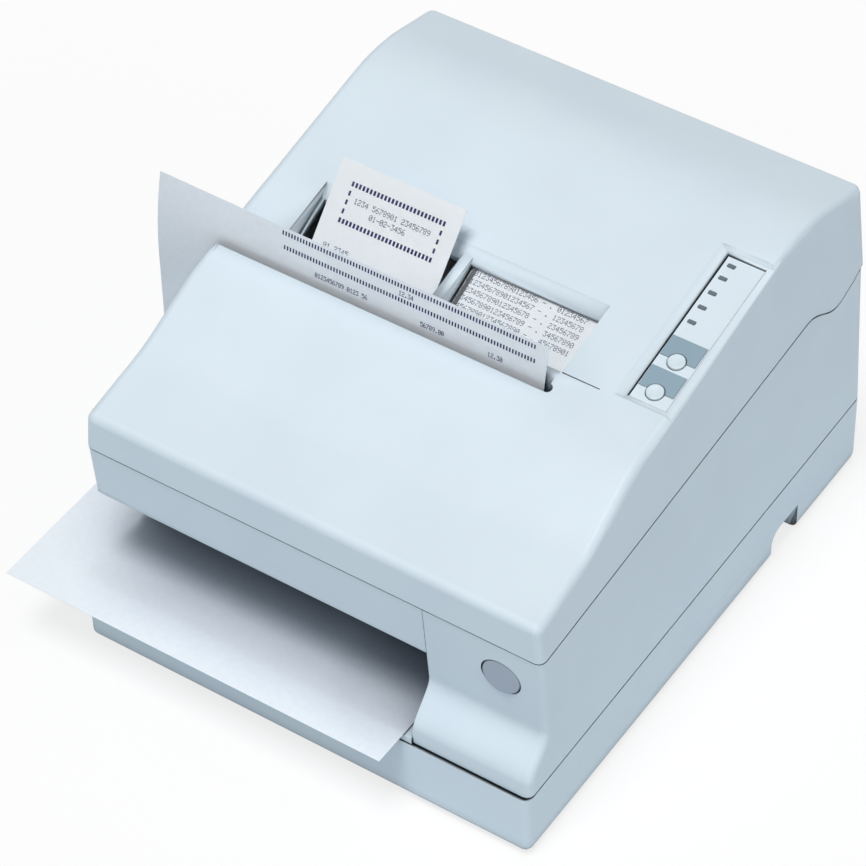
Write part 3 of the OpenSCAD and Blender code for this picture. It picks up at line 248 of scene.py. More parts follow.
def clear_acrylic(name):
    """A thin moulded acrylic pane: mostly see-through, with a clear gloss from the lamps."""
    material, tree, out = new_material(name)
    haze = grain(tree, 6.0, 2.0)
    rough = add(tree, "ShaderNodeMapRange", {"Value": haze.outputs["Fac"], "To Min": 0.05, "To Max": 0.12})
    gloss = add(tree, "ShaderNodeBsdfPrincipled", {
        "Base Color": linear("#D8E2EA"), "Roughness": rough.outputs["Result"], "IOR": 1.49, "Alpha": 0.05})
    tree.links.new(gloss.outputs["BSDF"], out.inputs["Surface"])
    return material


def ribbon_ink(name):
    """Dot matrix ink from a fabric ribbon: violet black, matt, a little uneven from dot to dot."""
    material, tree, out = new_material(name)
    spread = grain(tree, 0.7, 2.0)
    shader = add(tree, "ShaderNodeBsdfPrincipled", {
        "Base Color": mottled(tree, "#1E1B4A", "#3A386C", spread.outputs["Fac"]), "Roughness": 0.8})
    tree.links.new(shader.outputs["BSDF"], out.inputs["Surface"])
    return material


def woven_ribbon(name):
    """Inked nylon ribbon: a plain weave of 0.3 mm threads, drawn coarser than the real 0.1 mm to show."""
    material, tree, out = new_material(name)
    where = add(tree, "ShaderNodeTexCoord").outputs["Object"]
    threads = {"Vector": where, "Scale": 1000 / (THREAD_MM * 6.28)}
    warp = add(tree, "ShaderNodeTexWave", threads, bands_direction="X")
    weft = add(tree, "ShaderNodeTexWave", threads, bands_direction="Z")
    both = add(tree, "ShaderNodeMath", {0: warp.outputs["Fac"], 1: weft.outputs["Fac"]}, operation="MULTIPLY")
    bump = add(tree, "ShaderNodeBump", {
        "Height": both.outputs["Value"], "Strength": 0.6, "Distance": 0.03 * MM})
    shader = add(tree, "ShaderNodeBsdfPrincipled", {
        "Base Color": mottled(tree, "#14121F", "#25213A", both.outputs["Value"]), "Roughness": 0.7,
        "Normal": bump.outputs["Normal"]})
    tree.links.new(shader.outputs["BSDF"], out.inputs["Surface"])
    return material


FINISHES = {
    # reaches of the painted shade in gaps and in wider hollows
    "moulded_shell": lambda: moulded_abs(
        "Moulded ABS, pale grey", "#D8E6F0", "#DBE9F2", 0.5, edge_mm=0.45, gap_shade_mm=2.6, hollow_shade_mm=11.0),
    "rubber": lambda: vulcanised_rubber("Moulded rubber, black", "#242527", "#303234"),
    "zinc_steel": lambda: metal("Zinc-plated steel sheet", "#9FA6AC", "#B9BFC3", 0.38, (1, 1, 1), 3.0),
    "board_green": lambda: moulded_abs("Solder-masked board, green", "#245C39", "#2F6D47", 0.35, 1.2, 0.02),
    "connector_black": lambda: moulded_abs("Moulded nylon, black", "#232528", "#2C2F33", 0.45),
    "connector_shell": lambda: metal("Tinned steel shell", "#A7ACB1", "#B8BDC1", 0.32),
    "ground_steel": lambda: metal("Ground steel", "#C3C9CE", "#D3D8DC", 0.22, (0.05, 1, 1), 0.5),
    "motor_can": lambda: metal("Plated motor can", "#6B7076", "#7B8087", 0.36, (1, 0.1, 1), 0.6),
    "dark_plastic": lambda: moulded_abs("Glass-filled nylon, dark grey", "#3E4349", "#4A5056", 0.55),
    "platen_steel": lambda: metal("Blackened steel", "#55595E", "#666B70", 0.42, (0.1, 1, 1), 0.6),
    "nylon": lambda: moulded_abs("Acetal, natural white", "#DEDDD5", "#E6E5DD", 0.4),
    # 60 mm: reach of the painted shade in the printer's mouth
    "paper": lambda: bond_paper("Bond paper, bluish white", "#EAF1FA", "#EDF4FC", 60.0),
    "roll_paper": lambda: bond_paper("Roll paper, bleached", "#F3F9FE", "#F6FBFF"),
    "cassette_black": lambda: moulded_abs("Moulded polystyrene, black", "#232427", "#2D2F33", 0.42),
    "inked_fabric": lambda: woven_ribbon("Inked nylon weave"),
    "belt_rubber": lambda: vulcanised_rubber("Belt rubber, black", "#1F2022", "#2A2B2E"),
    "clear_pane": lambda: clear_acrylic("Clear acrylic"),
    "panel_face": lambda: moulded_abs(
        "Screened polycarbonate, pale", "#DCEAF3", "#DFECF5", 0.3, 0.6, 0.006, gap_shade_mm=1.2),
    "label_grey": lambda: moulded_abs(
        "Screened polycarbonate, grey blue", "#8AA3B2", "#91A9B8", 0.32, 0.6, 0.006, gap_shade_mm=1.2),
    "lamp_lens": lambda: moulded_abs("Tinted lens, unlit green", "#5C6C75", "#66757D", 0.2, 0.8, 0.004),
    "button_light": lambda: moulded_abs("Moulded ABS, light button", "#D5E5EE", "#DBE9F0", 0.38, edge_mm=0.3),
    "button_grey": lambda: moulded_abs("Moulded ABS, grey button", "#A1ADBD", "#A9B5C4", 0.42, edge_mm=0.3),
    "head_alloy": lambda: metal("Die-cast aluminium", "#7E8388", "#90959A", 0.45, (1, 1, 1), 0.9),
    "knob_blue": lambda: moulded_abs("Moulded nylon, blue", "#35629B", "#3F6FA8", 0.4),
    "gear_brass": lambda: metal("Machined brass", "#C8A55A", "#D7B76E", 0.25, (0.1, 1, 1), 0.4),
    "ink": lambda: ribbon_ink("Ribbon ink"),
}
MADE = {}


def finish(slot):
    """The one material of a record's slot."""
    if slot not in MADE:
        MADE[slot] = FINISHES[slot]()
    return MADE[slot]


SLOT_OF = {s["node"]: s["material_slot"] for s in frame["record"]["subparts"]}
ROLL_PAPER = ("receipt_strip", "journal_strip", "receipt_roll", "journal_roll", "take_up_spool")


# ---- meshes ----
def put(name, points, faces, slot, body, replaces=(), smooth=None, uv=None):
    """Makes a piece from arrays of points and faces, gives it its finish and lets it ride on its body."""
    mesh = bpy.data.meshes.new(name)
    points = np.asarray(points, float).reshape(-1, 3).tolist()
    mesh.from_pydata(points, [], [list(map(int, f)) for f in faces])
    piece = bpy.data.objects.new(name, mesh)
    bpy.context.scene.collection.objects.link(piece)
    dress(piece, slot, body, replaces, smooth)
    if uv is not None:
        layer = mesh.uv_layers.new(name="Sheet")
        loops = np.zeros(len(mesh.loops), np.int32)
        mesh.loops.foreach_get("vertex_index", loops)
        layer.data.foreach_set("uv", np.asarray(uv, np.float32)[loops].ravel())
    return piece


def dress(piece, slot, body, replaces=(), smooth=None):
    """Finish, smoothing by angle, the body it rides on and the nodes it stands for."""
    piece.data.materials.clear()
    piece.data.materials.append(finish(slot))
    if smooth is not None:
        piece.data.polygons.foreach_set("use_smooth", np.ones(len(piece.data.polygons), bool))
        if smooth < 180:
            piece.data.set_sharp_from_angle(angle=math.radians(smooth))
    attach(piece, body)
    if replaces:
        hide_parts(*replaces)
    return piece


def grid_faces(nu, nv, wrap_u=False, wrap_v=False, start=0):
    """Quads of a grid of nu rows of nv points; a wrapped way joins its last row to its first."""
    u = np.arange(nu if wrap_u else nu - 1)
    v = np.arange(nv if wrap_v else nv - 1)
    a, b = (w.ravel() for w in np.meshgrid(u, v, indexing="ij"))
    c, d = (a + 1) % nu, (b + 1) % nv
    return np.stack([a * nv + b, c * nv + b, c * nv + d, a * nv + d], 1) + start


def turned(profile, centre, axis, across, steps=64):
    """A turned solid: profile holds (radius, height) pairs, carried round axis from the direction across.

    Each point is centre + height * axis + radius * (cos t * across + sin t * (axis x across)).
    Radius 0 closes an end.
    """
    axis, across = np.array(axis, float), np.array(across, float)
    axis /= np.linalg.norm(axis)
    across -= axis * (across @ axis)
    across /= np.linalg.norm(across)
    side = np.cross(axis, across)
    t = np.linspace(0, 2 * np.pi, steps, endpoint=False)
    ring = np.cos(t)[:, None] * across + np.sin(t)[:, None] * side
    prof = np.array(profile, float)
    body = prof[(prof[:, 0] > 0)]
    pts = np.array(centre) + body[:, None, 1:2] * axis + body[:, None, 0:1] * ring[None]
    faces = [tuple(f) for f in grid_faces(len(body), steps, False, True)]
    pts = pts.reshape(-1, 3)
    first, last = len(pts), len(pts) + 1
    ends = np.array([np.array(centre) + prof[0, 1] * axis, np.array(centre) + prof[-1, 1] * axis])
    n = (len(body) - 1) * steps
    faces += [(first, (k + 1) % steps, k) for k in range(steps)]
    faces += [(last, n + k, n + (k + 1) % steps) for k in range(steps)]
    return np.vstack([pts, ends]), faces


def rounded(radius, low, high, edge, dish=0.0, steps=5):
    """Half the outline of a button from low to high: (radius, height) pairs.

    The rim turns through a quarter circle, and the face sinks by dish * (1 - (r / its radius)^2).
    """
    a = np.linspace(0, math.pi / 2, steps)
    rim = np.stack([radius - edge + edge * np.cos(a), high - edge + edge * np.sin(a)], 1)
    r = np.linspace(radius - edge, 0, 8)[1:]
    face = np.stack([r, high - dish * (1 - (r / (radius - edge)) ** 2)], 1)
    return np.vstack([[0, low], [radius - edge, low], [radius, low + edge], rim, face])


def outwards(piece):
    """Points every face outwards."""
    bm = bmesh.new()
    bm.from_mesh(piece.data)
    bmesh.ops.recalc_face_normals(bm, faces=bm.faces)
    bm.to_mesh(piece.data)
    bm.free()
    return piece


def flat_side(bm, face):
    """Every face in the plane of one face, whichever way it points."""
    n, d = face.normal.copy(), face.verts[0].co.dot(face.normal)
    level = [f for f in bm.faces if abs(f.normal.dot(n)) > 0.999]
    return [f for f in level if all(abs(v.co.dot(n) - d) < LEVEL for v in f.verts)]


def unfolded(bm):
    """Fills a flat side again from its outline where its triangles fold back over the hollow of a curve."""
    for _ in range(MOST_FILLS):
        bm.normal_update()
        pairs = [e for e in bm.edges if len(e.link_faces) == 2]
        folds = [e for e in pairs if e.link_faces[0].normal.dot(e.link_faces[1].normal) < -0.9]
        if not folds:
            return
        fold = max(folds, key=lambda e: min(f.calc_area() for f in e.link_faces))
        side = max((flat_side(bm, f) for f in fold.link_faces), key=lambda fs: sum(f.calc_area() for f in fs))
        out = sum((f.normal * f.calc_area() for f in side), Vector()).normalized()
        mine = set(side)
        edges = list(dict.fromkeys(e for f in side for e in f.edges))
        rim = [e for e in edges if any(f not in mine for f in e.link_faces)]
        inner = [e for e in edges if all(f in mine for f in e.link_faces)]
        bmesh.ops.delete(bm, geom=side, context="FACES_ONLY")
        bmesh.ops.delete(bm, geom=inner, context="EDGES")
        rim = [e for e in rim if e.is_valid]
        made = bmesh.ops.triangle_fill(bm, edges=rim, use_beauty=True, use_dissolve=False, normal=out)
        filled = [f for f in made["geom"] if isinstance(f, bmesh.types.BMFace)]
        bmesh.ops.reverse_faces(bm, faces=[f for f in filled if f.normal.dot(out) < 0])
        bmesh.ops.beautify_fill(bm, faces=filled, edges=[])


def merged_copy(node, name, angle=32):
    """A copy of a CAD node with its points merged, smoothed below an angle."""
    source = frame["nodes"][node]
    piece = bpy.data.objects.new(name, source.data.copy())
    bpy.context.scene.collection.objects.link(piece)
    bm = bmesh.new()
    bm.from_mesh(piece.data)
    bmesh.ops.remove_doubles(bm, verts=bm.verts, dist=WELD)
    bmesh.ops.dissolve_degenerate(bm, dist=WELD, edges=bm.edges)
    unfolded(bm)
    bm.to_mesh(piece.data)
    bm.free()
    dress(piece, SLOT_OF[node], source["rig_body"], (node,), angle)
    weight = piece.modifiers.new("Flat areas stay flat", "WEIGHTED_NORMAL")
    weight.keep_sharp = True
    weight.weight = 80
    return piece


def arc_path(centre, radius, a0, a1, n):
    """Points (y, z) of an arc about centre from a0 to a1 degrees."""
    a = np.radians(np.linspace(a0, a1, n))
    return np.stack([centre[0] + radius * np.cos(a), centre[1] + radius * np.sin(a)], 1)


def even_path(points, step):
    """The same path with points about step apart, and the length run at each."""
    d = np.r_[0, np.cumsum(np.linalg.norm(np.diff(points, axis=0), axis=1))]
    run = np.linspace(0, d[-1], max(2, int(d[-1] / step)) + 1)
    return np.stack([np.interp(run, d, points[:, 0]), np.interp(run, d, points[:, 1])], 1), run


def along(path, run):
    """Place (y, z) and unit tangent of a path at each run length, all by linear interpolation."""
    pts, length = path
    tangent = np.gradient(pts, axis=0)
    tangent /= np.linalg.norm(tangent, axis=1)[:, None]
    place = np.stack([np.interp(run, length, pts[:, k]) for k in (0, 1)], -1)
    return place, np.stack([np.interp(run, length, tangent[:, k]) for k in (0, 1)], -1)


def paper_sheet(name, corners, path, thick, slot, body, replaces, across=24):
    """A sheet carried along a path in side view.

    corners holds (x, run) at its start left, start right, end right and end left. With u across and w along,
    (x, run) = bilinear(corners; u, w). Each side lies thick / 2 from the path along its normal.
    """
    n, m = across, len(path[0])
    u, w = np.meshgrid(np.linspace(0, 1, n), np.linspace(0, 1, m), indexing="ij")
    a, b, c, d = (np.array(p)[:, None, None] for p in corners)
    x, run = (1 - u) * (1 - w) * a + u * (1 - w) * b + u * w * c + (1 - u) * w * d
    place, tangent = along(path, run)
    normal = np.stack([-tangent[..., 1], tangent[..., 0]], -1)
    sides = []
    for off in (thick / 2, -thick / 2):
        q = place + off * normal
        sides.append(np.concatenate([x[..., None], q], -1))
    top = grid_faces(n, m)
    low = grid_faces(n, m, start=n * m)[:, ::-1]
    along_w, along_u = np.arange(m - 1), np.arange(n - 1)
    rim = np.r_[along_w, (m - 1) + m * along_u, n * m - 1 - along_w, (n - 1 - along_u) * m, 0]
    edge = np.stack([rim[1:], rim[:-1], rim[:-1] + n * m, rim[1:] + n * m], 1)
    faces = np.vstack([top, low, edge])
    uv = np.stack([x.ravel(), run.ravel()], 1)
    points = np.vstack([s.reshape(-1, 3) for s in sides])
    return outwards(put(name, points, faces, slot, body, replaces, 60, np.vstack([uv, uv])))


# 5 x 7 dot characters: one number per row, five dots each
DOT_ROWS = {
    "0": (14, 17, 19, 21, 25, 17, 14), "1": (4, 12, 4, 4, 4, 4, 14), "2": (14, 17, 1, 6, 8, 16, 31),
    "3": (31, 2, 4, 2, 1, 17, 14), "4": (2, 6, 10, 18, 31, 2, 2), "5": (31, 16, 30, 1, 1, 17, 14),
    "6": (6, 8, 16, 30, 17, 17, 14), "7": (31, 1, 2, 4, 8, 8, 8), "8": (14, 17, 17, 14, 17, 17, 14),
    "9": (14, 17, 17, 15, 1, 2, 12), "-": (0, 0, 0, 31, 0, 0, 0), ".": (0, 0, 0, 0, 0, 12, 12),
    " ": (0,) * 7,
}


def running(start, count):
    """A run of digits that counts up from start."""
    return "".join(str((start + i) % 10) for i in range(count))


def dots_of(text, x, run, wide, tall, dot):
    """Marks of a line of 5 x 7 dot characters: wide is the step between them, tall their height."""
    found = [(x + (6 * i + 4 - b) * wide / 6, run + tall / 2 - r * tall / 6, dot, dot, 0.41)
             for i, c in enumerate(text) for r, bits in enumerate(DOT_ROWS[c])
             for b in range(5) if bits >> b & 1]
    return np.array(found).reshape(-1, 5)


def bars_of(x0, x1, run0, run1, count, wide, tall):
    """Marks of an even row of upright bars from (x0, run0) to (x1, run1)."""
    t = np.linspace(0, 1, count)
    one = np.ones(count)
    return np.stack([x0 + (x1 - x0) * t, run0 + (run1 - run0) * t, wide * one, tall * one, 0.85 * one], 1)


def struck(name, marks, path, lift, body):
    """Struck marks on a sheet; each row of marks is x, run, width w, height h and squareness k.

    A mark has eight corners, (+-w/2, +-k h/2) and (+-k w/2, +-h/2), laid on the path and lifted along its
    normal: k = 0.41 makes a round dot, and 0.85 a bar.
    """
    x, run, w, h, k = marks.T[:, :, None]
    one = np.ones_like(k)
    across = np.concatenate([one, k, -k, -one, -one, -k, k, one], 1) * w / 2
    up = np.concatenate([k, one, one, k, -k, -one, -one, -k], 1) * h / 2
    place, tangent = along(path, run + up)
    normal = np.stack([-tangent[..., 1], tangent[..., 0]], -1)
    points = np.concatenate([(x + across)[..., None], place + lift * normal], -1)
    return put(name, points, np.arange(points.shape[0] * 8).reshape(-1, 8), "ink", body)


# ---- settings ----
class StageSettings(bpy.types.PropertyGroup):
    """Camera, lights, sky and floor."""

    azimuth: FloatProperty(
        name="Azimuth", description="Camera's turn round the printer",
        default=math.radians(34.77), subtype="ANGLE")
    elevation: FloatProperty(
        name="Elevation", description="Camera's height above the horizon",
        default=math.radians(45.67), subtype="ANGLE")
    roll: FloatProperty(
        name="Roll", description="Camera's lean",
        default=math.radians(-1.53), subtype="ANGLE")
    distance: FloatProperty(
        name="Distance", description="From the camera to its target",
        default=1.9096, unit="LENGTH")
    target: FloatVectorProperty(
        name="Target", description="Where the camera looks",
        default=(-0.0137, -0.0187, 0.0877), subtype="XYZ", unit="LENGTH")
    lens: FloatProperty(name="Lens", description="Focal length on a 36 mm sensor", default=166.28)
    key_light: FloatProperty(name="Key light", description="Strength of the overhead light", default=1.95)
    side_light: FloatProperty(
        name="Side light", description="Strength of the low light from the right",
        default=0.5)
    front_light: FloatProperty(
        name="Front light", description="Strength of the wide light from the front",
        default=0.42)
    sky_low: FloatProperty(
        name="Low sky light", description="Strength of the sky at the horizon",
        default=0.05)
    sky_high: FloatProperty(name="High sky light", description="Strength of the sky overhead", default=0.17)
    floor_colour: StringProperty(
        name="Floor colour", description="sRGB hex colour that the floor throws back",
        default="#DAE7EF")
    floor_white: FloatProperty(
        name="Floor white", description="Share of plain white in the floor as it is seen",
        default=0.78)


class PaperSettings(bpy.types.PropertyGroup):
    """The loaded papers and their print."""

    thickness: FloatProperty(
        name="Paper thickness", description="Thickness of the loaded papers",
        default=0.00025, unit="LENGTH")
    dot_size: FloatProperty(
        name="Dot size", description="Diameter of a struck dot",
        default=0.00038, unit="LENGTH")
    print_lift: FloatProperty(
        name="Print lift", description="Height of the ink above the paper",
        default=0.00004, unit="LENGTH")


class ButtonSettings(bpy.types.PropertyGroup):
    """Shape of the buttons' faces."""

    rim: FloatProperty(
        name="Rim rounding", description="Rounding of a button's rim",
        default=0.0006, unit="LENGTH")
    dish: FloatProperty(
        name="Dish", description="Depth of a button's dished face",
        default=0.0004, unit="LENGTH")


# ---- operators ----
class PRINTER_OT_stage(bpy.types.Operator):
    """Floor, lights, world and the camera at the photographed angle."""

    bl_idname = "printer.stage"
    bl_label = "Stage"

    def execute(self, context):
        s = context.scene.printer_stage
        scene = context.scene
        scene.view_settings.view_transform = "Standard"
        put_floor(s.floor_colour, s.floor_white)
        world = bpy.data.worlds.new("Soft sky")
        scene.world = world
        world.use_nodes = True
        tree = world.node_tree
        tree.nodes.clear()
        towards = add(tree, "ShaderNodeTexCoord").outputs["Generated"]
        way = add(tree, "ShaderNodeSeparateXYZ", {"Vector": towards})
        soft = add(tree, "ShaderNodeMapRange", {
            "Value": way.outputs["Z"], "From Min": 0.3, "From Max": 0.75,
            "To Min": s.sky_low, "To Max": s.sky_high})
        power = add(tree, "ShaderNodeMapRange", {
            "Value": seen_ray(tree), "To Min": soft.outputs["Result"], "To Max": 1.0})
        sky = add(tree, "ShaderNodeBackground", {"Color": (1, 1, 1, 1), "Strength": power.outputs["Result"]})
        add(tree, "ShaderNodeOutputWorld", {"Surface": sky.outputs["Background"]})
        for name, strength, angle, turn in (
            ("Overhead light", s.key_light, 22, (math.radians(13.5), 0, 0)),
            ("Front light", s.front_light, 60, (math.radians(42), 0, math.radians(6))),
            ("Side light", s.side_light, 40, (0, math.radians(65), math.radians(-10))),
        ):
            lamp = bpy.data.lights.new(name, "SUN")
            lamp.energy = strength
            lamp.angle = math.radians(angle)
            holder = bpy.data.objects.new(name, lamp)
            holder.rotation_euler = turn
            scene.collection.objects.link(holder)
        camera = bpy.data.cameras.new("Camera")
        camera.lens = s.lens
        camera.sensor_width = 36
        camera.clip_start = 0.05
        camera.clip_end = 20
        holder = bpy.data.objects.new("Camera", camera)
        scene.collection.objects.link(holder)
        a, e, r = s.azimuth, s.elevation, s.roll
        back = Vector((math.sin(a) * math.cos(e), -math.cos(a) * math.cos(e), math.sin(e)))
        right = Vector((math.cos(a), math.sin(a), 0))
        up = back.cross(right)
        turned_right = math.cos(r) * right + math.sin(r) * up
        turned_up = -math.sin(r) * right + math.cos(r) * up
        place = Vector(s.target) + back * s.distance
        rows = [(turned_right[k], turned_up[k], back[k], place[k]) for k in range(3)]
        holder.matrix_world = Matrix((*rows, (0, 0, 0, 1)))
        scene.camera = holder
        return {"FINISHED"}


def seen_ray(tree):
    """1 for a ray that sees the background plainly or in metal or glass, else 0."""
    rays = add(tree, "ShaderNodeLightPath").outputs
    direct = {0: rays["Is Camera Ray"], 1: rays["Is Glossy Ray"]}
    seen = add(tree, "ShaderNodeMath", direct, operation="MAXIMUM")
    through = {0: seen.outputs[0], 1: rays["Is Transmission Ray"]}
    return add(tree, "ShaderNodeMath", through, operation="MAXIMUM").outputs[0]


def put_floor(code, white):
    """A wide plain floor: a square grid at the height of the feet's faces."""
    x, y = np.meshgrid(np.linspace(-4, 4, 9), np.linspace(-4, 4, 9), indexing="ij")
    points = np.stack([x.ravel(), y.ravel(), np.full(x.size, FLOOR_Z)], 1)
    mesh = bpy.data.meshes.new("Floor")
    mesh.from_pydata(points.tolist(), [], grid_faces(9, 9).tolist())
    floor = bpy.data.objects.new("Floor", mesh)
    bpy.context.scene.collection.objects.link(floor)
    material, tree, out = new_material("Matt paper floor")
    fine = grain(tree, 3.0, 2.0)
    bump = add(tree, "ShaderNodeBump", {"Height": fine.outputs["Fac"], "Strength": 0.05, "Distance": 0.0001})
    thrown = add(tree, "ShaderNodeBsdfDiffuse", {"Color": linear(code), "Normal": bump.outputs["Normal"]})
    matt = add(tree, "ShaderNodeBsdfDiffuse", {"Color": linear("#FDFDFD"), "Normal": bump.outputs["Normal"]})
    plain = add(tree, "ShaderNodeEmission", {"Color": linear("#FFFFFF"), "Strength": 1.0})
    shown = add(tree, "ShaderNodeMixShader", {
        0: white, 1: matt.outputs["BSDF"], 2: plain.outputs["Emission"]})
    both = add(tree, "ShaderNodeMixShader", {
        0: seen_ray(tree), 1: thrown.outputs["BSDF"], 2: shown.outputs["Shader"]})
    tree.links.new(both.outputs["Shader"], out.inputs["Surface"])
    mesh.materials.append(material)
    return floor


class PRINTER_OT_carried(bpy.types.Operator):
    """Gives every carried-over frame node the finish of its slot."""

    bl_idname = "printer.carried"
    bl_label = "Mechanism finishes"

    def execute(self, context):
        for name, node in frame["nodes"].items():
            node.data.materials.clear()
            on_roll = SLOT_OF[name] == "paper" and name in ROLL_PAPER
            node.data.materials.append(finish("roll_paper" if on_roll else SLOT_OF[name]))
        return {"FINISHED"}


class PRINTER_OT_shells(bpy.types.Operator):
    """The moulded shells, with merged and smoothed surfaces."""

    bl_idname = "printer.shells"
    bl_label = "Moulded shells"

    def execute(self, context):
        for node in ("base_case", "main_body", "slip_bar", "slip_table", "top_cover"):
            merged_copy(node, "moulded_" + node)
        return {"FINISHED"}


class PRINTER_OT_papers(bpy.types.Operator):
    """The loaded slip, receipt and journal with their dot printing."""

    bl_idname = "printer.papers"
    bl_label = "Papers"

    def execute(self, context):
        s = context.scene.printer_paper
        t, lift = s.thickness, s.thickness / 2 + s.print_lift
        slip = slip_path()
        end = slip[1][-1]
        corners = ((-0.1578, 0), (0.0575, 0), (0.0614, end - 0.0016), (-0.1556, end))
        paper_sheet("slip_paper", corners, slip, t, "paper", "housing", ("slip_sheet",))
        struck("slip_print", slip_marks(end, s.dot_size), slip, lift, "housing")
        receipt = receipt_path()
        end = receipt[1][-1]
        corners = ((-0.0836, 0), (-0.0143, 0), (-0.0143, end), (-0.0836, end))
        strip = paper_sheet("receipt_paper", corners, receipt, t, "paper", "housing", ("receipt_strip",))
        strip.data.materials[0] = finish("roll_paper")
        struck("receipt_print", receipt_marks(end, s.dot_size), receipt, lift, "housing")
        journal = journal_path()
        body = frame["nodes"]["journal_strip"]["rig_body"]
        struck("journal_print", journal_marks(journal[1][-1], s.dot_size), journal, s.print_lift, body)
        return {"FINISHED"}


class PRINTER_OT_gap_shades(bpy.types.Operator):
    """Two thin strips with the black rubber finish under the journal window, at its left and right edges:
    painted shade where the gaps beside the journal lie dark.
    """

    bl_idname = "printer.seals"
    bl_label = "Window seals"

    def execute(self, context):
        pane = even_path(np.array([[-0.02334, 0.16437], [0.00896, 0.17797]]), 0.0025)
        body, end = frame["nodes"]["journal_window"]["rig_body"], pane[1][-1]
        # painted shade: black strips where the gaps at the window's edges are dark
        for name, x0, x1 in (("window_gap_shade_left", -0.0069, -0.0049), ("window_gap_shade_right", 0.0629, 0.0652)):
            corners = ((x0, 0), (x1, 0), (x1, end), (x0, end))
            paper_sheet(name, corners, pane, 0.0002, "rubber", body, (), across=3)
        return {"FINISHED"}


def slip_path():
    """The slip in side view: flat on the table, round the bend, upright, then leaning back."""
    cy, cz, r = -0.0839, 0.0892, 0.045
    top = arc_path((-0.0389 + 0.198, 0.150), 0.198, 180, 166, 12)
    points = np.vstack([[[cy - 0.0875, cz - r]], arc_path((cy, cz), r, -90, 0, 24), top])
    return even_path(points, 0.0025)


def receipt_path():
    """The receipt in side view, from the roll round the feed roller and out of its opening."""
    lean = math.radians(42)
    strip = -0.0343
    roll = arc_path((0.090, 0.0815), 0.0406, 250, 250, 1)
    feed = arc_path((-0.0267, 0.090), 0.0076, -110, -180, 8)
    bend = arc_path((strip + 0.036, 0.137), 0.036, 180, 138, 12)
    end = bend[-1] + 0.0598 * np.array([math.sin(lean), math.cos(lean)])
    return even_path(np.vstack([roll, feed, [[strip, 0.094]], bend, [end]]), 0.0025)


def journal_path():
    """The journal's printed face under its window, from the front upwards to the rear."""
    return even_path(np.array([[-0.0239, 0.1637], [0.0093, 0.17763]]), 0.0025)


def slip_marks(end, dot):
    """Two rows of bars and four groups of plain numbers on the slip's upright part, measured from its end."""
    step, tall = 0.00164, 0.0023
    return np.vstack([
        bars_of(-0.0845, 0.0540, end - 0.0033, end - 0.0042, 85, 0.0008, 0.0023),
        bars_of(-0.0830, 0.0546, end - 0.0108, end - 0.0117, 85, 0.0008, 0.0023),
        dots_of(running(0, 10) + " " + running(0, 4) + " 56", -0.0652, end - 0.0184, step, tall, dot),
        dots_of("12.34", -0.0193, end - 0.0077, step, tall, dot),
        dots_of(running(5, 5) + ".00", -0.0064, end - 0.0193, step, tall, dot),
        dots_of("12.30", 0.0304, end - 0.0192, step, tall, dot)])


def receipt_marks(end, dot):
    """A frame of bars round two lines of plain numbers on the receipt, and a short line below it."""
    step, tall = 0.00204, 0.0024
    left, right = -0.0739, -0.0228
    sides = [bars_of(left, right, end - v, end - v, 2, 0.0011, 0.0024) for v in (0.0148, 0.0192, 0.0237)]
    return np.vstack([
        bars_of(left, right, end - 0.0102, end - 0.0102, 26, 0.0012, 0.0024),
        bars_of(left, right, end - 0.0282, end - 0.0282, 26, 0.0012, 0.0024), *sides,
        dots_of(running(1, 4) + " " + running(5, 7) + " " + running(2, 8), -0.0700, end - 0.0172,
                step, tall, dot),
        dots_of("01-02-3456", -0.0598, end - 0.0216, step, tall, dot),
        dots_of("01 " + running(2, 4), -0.0773, end - 0.0418, step, tall, dot)])


def journal_marks(end, dot):
    """Rows of running numbers on the journal, one step further in each row."""
    rows = [(running(row, 17) + " - . " + running(row, 8), end - 0.0024 - 0.00447 * row) for row in range(5)]
    return np.vstack([dots_of(text, -0.0052, run, 0.00207, 0.0024, dot) for text, run in rows])


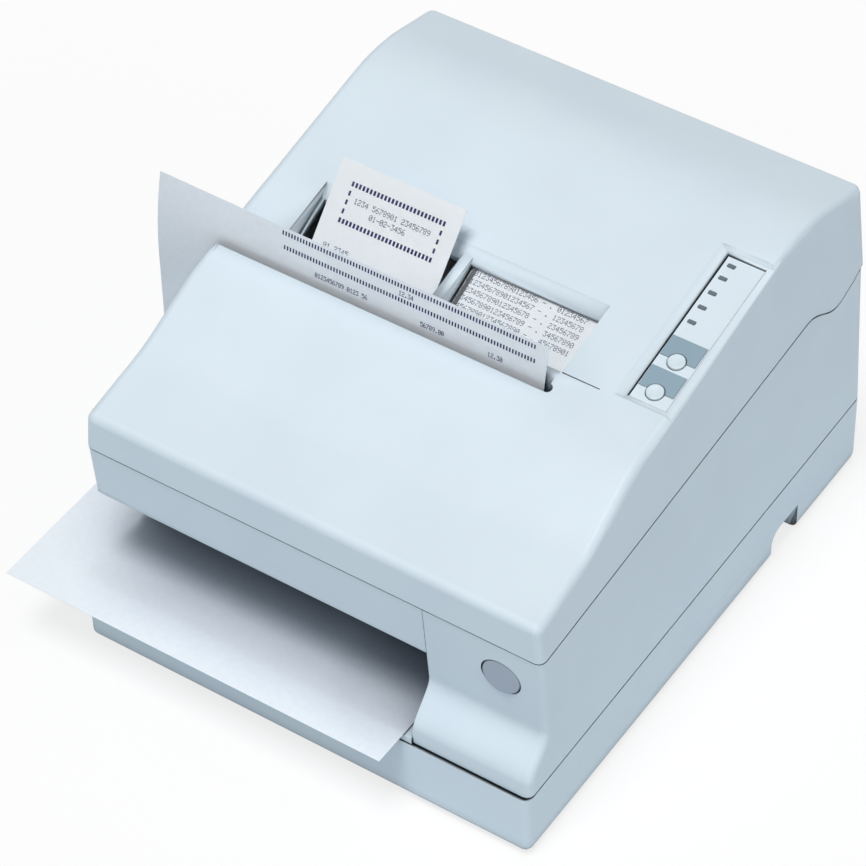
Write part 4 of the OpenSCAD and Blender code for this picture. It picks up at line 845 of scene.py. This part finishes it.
class PRINTER_OT_buttons(bpy.types.Operator):
    """The two round feed buttons and the power button with dished faces."""

    bl_idname = "printer.buttons"
    bl_label = "Buttons"

    def execute(self, context):
        s = context.scene.printer_button
        lean = frame_axis("receipt_feed_press")
        for node in ("receipt_feed_button", "journal_feed_button"):
            low, high, centre, radius = round_place(node, -lean)
            outline = rounded(radius, low, high, s.rim, s.dish)
            pts, faces = turned(outline, centre, -lean, (1, 0, 0), 48)
            body = frame["nodes"][node]["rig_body"]
            outwards(put("moulded_" + node, pts, faces, SLOT_OF[node], body, (node,), 40))
        low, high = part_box("power_button")
        centre = (0.103, 0, 0.100)
        rear, front, step = -high[1], -low[1], 0.0056
        stem = np.array([
            [0, rear], [0.006, rear], [0.006, front - step], [0.0094, front - step], [0.010, front - 0.005]])
        face = rounded(0.010, front - 0.005, front, 0.0012, 0.0006)[3:]
        pts, faces = turned(np.vstack([stem, face]), centre, (0, -1, 0), (1, 0, 0), 72)
        outwards(put("moulded_power_button", pts, faces, "button_grey", "power_key", ("power_button",), 40))
        return {"FINISHED"}


def frame_axis(joint):
    """A joint's axis from the frame."""
    return np.array(next(j["axis"] for j in frame["joints"] if j["name"] == joint), float)


def round_place(node, axis):
    """Lowest and highest height along axis, centre and radius of a round CAD node."""
    co = np.array([v.co[:] for v in frame["nodes"][node].data.vertices])
    h = co @ axis
    flat = co - h[:, None] * axis
    centre = (flat.min(0) + flat.max(0)) / 2
    return h.min(), h.max(), centre, np.linalg.norm(flat - centre, axis=1).max()


class PRINTER_PT_panel(bpy.types.Panel):
    """Shows the printer's settings and operators in the sidebar."""

    bl_idname = "PRINTER_PT_panel"
    bl_label = "Dot matrix printer"
    bl_space_type = "VIEW_3D"
    bl_region_type = "UI"
    bl_category = "Printer"

    def draw(self, context):
        for group in ("printer_stage", "printer_paper", "printer_button"):
            box = self.layout.box()
            settings = getattr(context.scene, group)
            for key in settings.__annotations__:
                box.prop(settings, key)
        for operator in OPERATORS:
            self.layout.operator(operator.bl_idname)


OPERATORS = (
    PRINTER_OT_stage, PRINTER_OT_carried, PRINTER_OT_shells, PRINTER_OT_papers, PRINTER_OT_gap_shades,
    PRINTER_OT_buttons)
CLASSES = (StageSettings, PaperSettings, ButtonSettings, *OPERATORS, PRINTER_PT_panel)


def register():
    """Registers the classes and puts the settings on the scene."""
    for cls in CLASSES:
        bpy.utils.register_class(cls)
    bpy.types.Scene.printer_stage = PointerProperty(type=StageSettings)
    bpy.types.Scene.printer_paper = PointerProperty(type=PaperSettings)
    bpy.types.Scene.printer_button = PointerProperty(type=ButtonSettings)


def unregister():
    """Takes the settings and the classes away again."""
    for name in ("printer_stage", "printer_paper", "printer_button"):
        delattr(bpy.types.Scene, name)
    for cls in reversed(CLASSES):
        bpy.utils.unregister_class(cls)


def main():
    """Makes the stage and every piece."""
    register()
    bpy.ops.printer.stage()
    bpy.ops.printer.carried()
    bpy.ops.printer.shells()
    bpy.ops.printer.papers()
    bpy.ops.printer.seals()
    bpy.ops.printer.buttons()


if __name__ == "__main__":
    main()
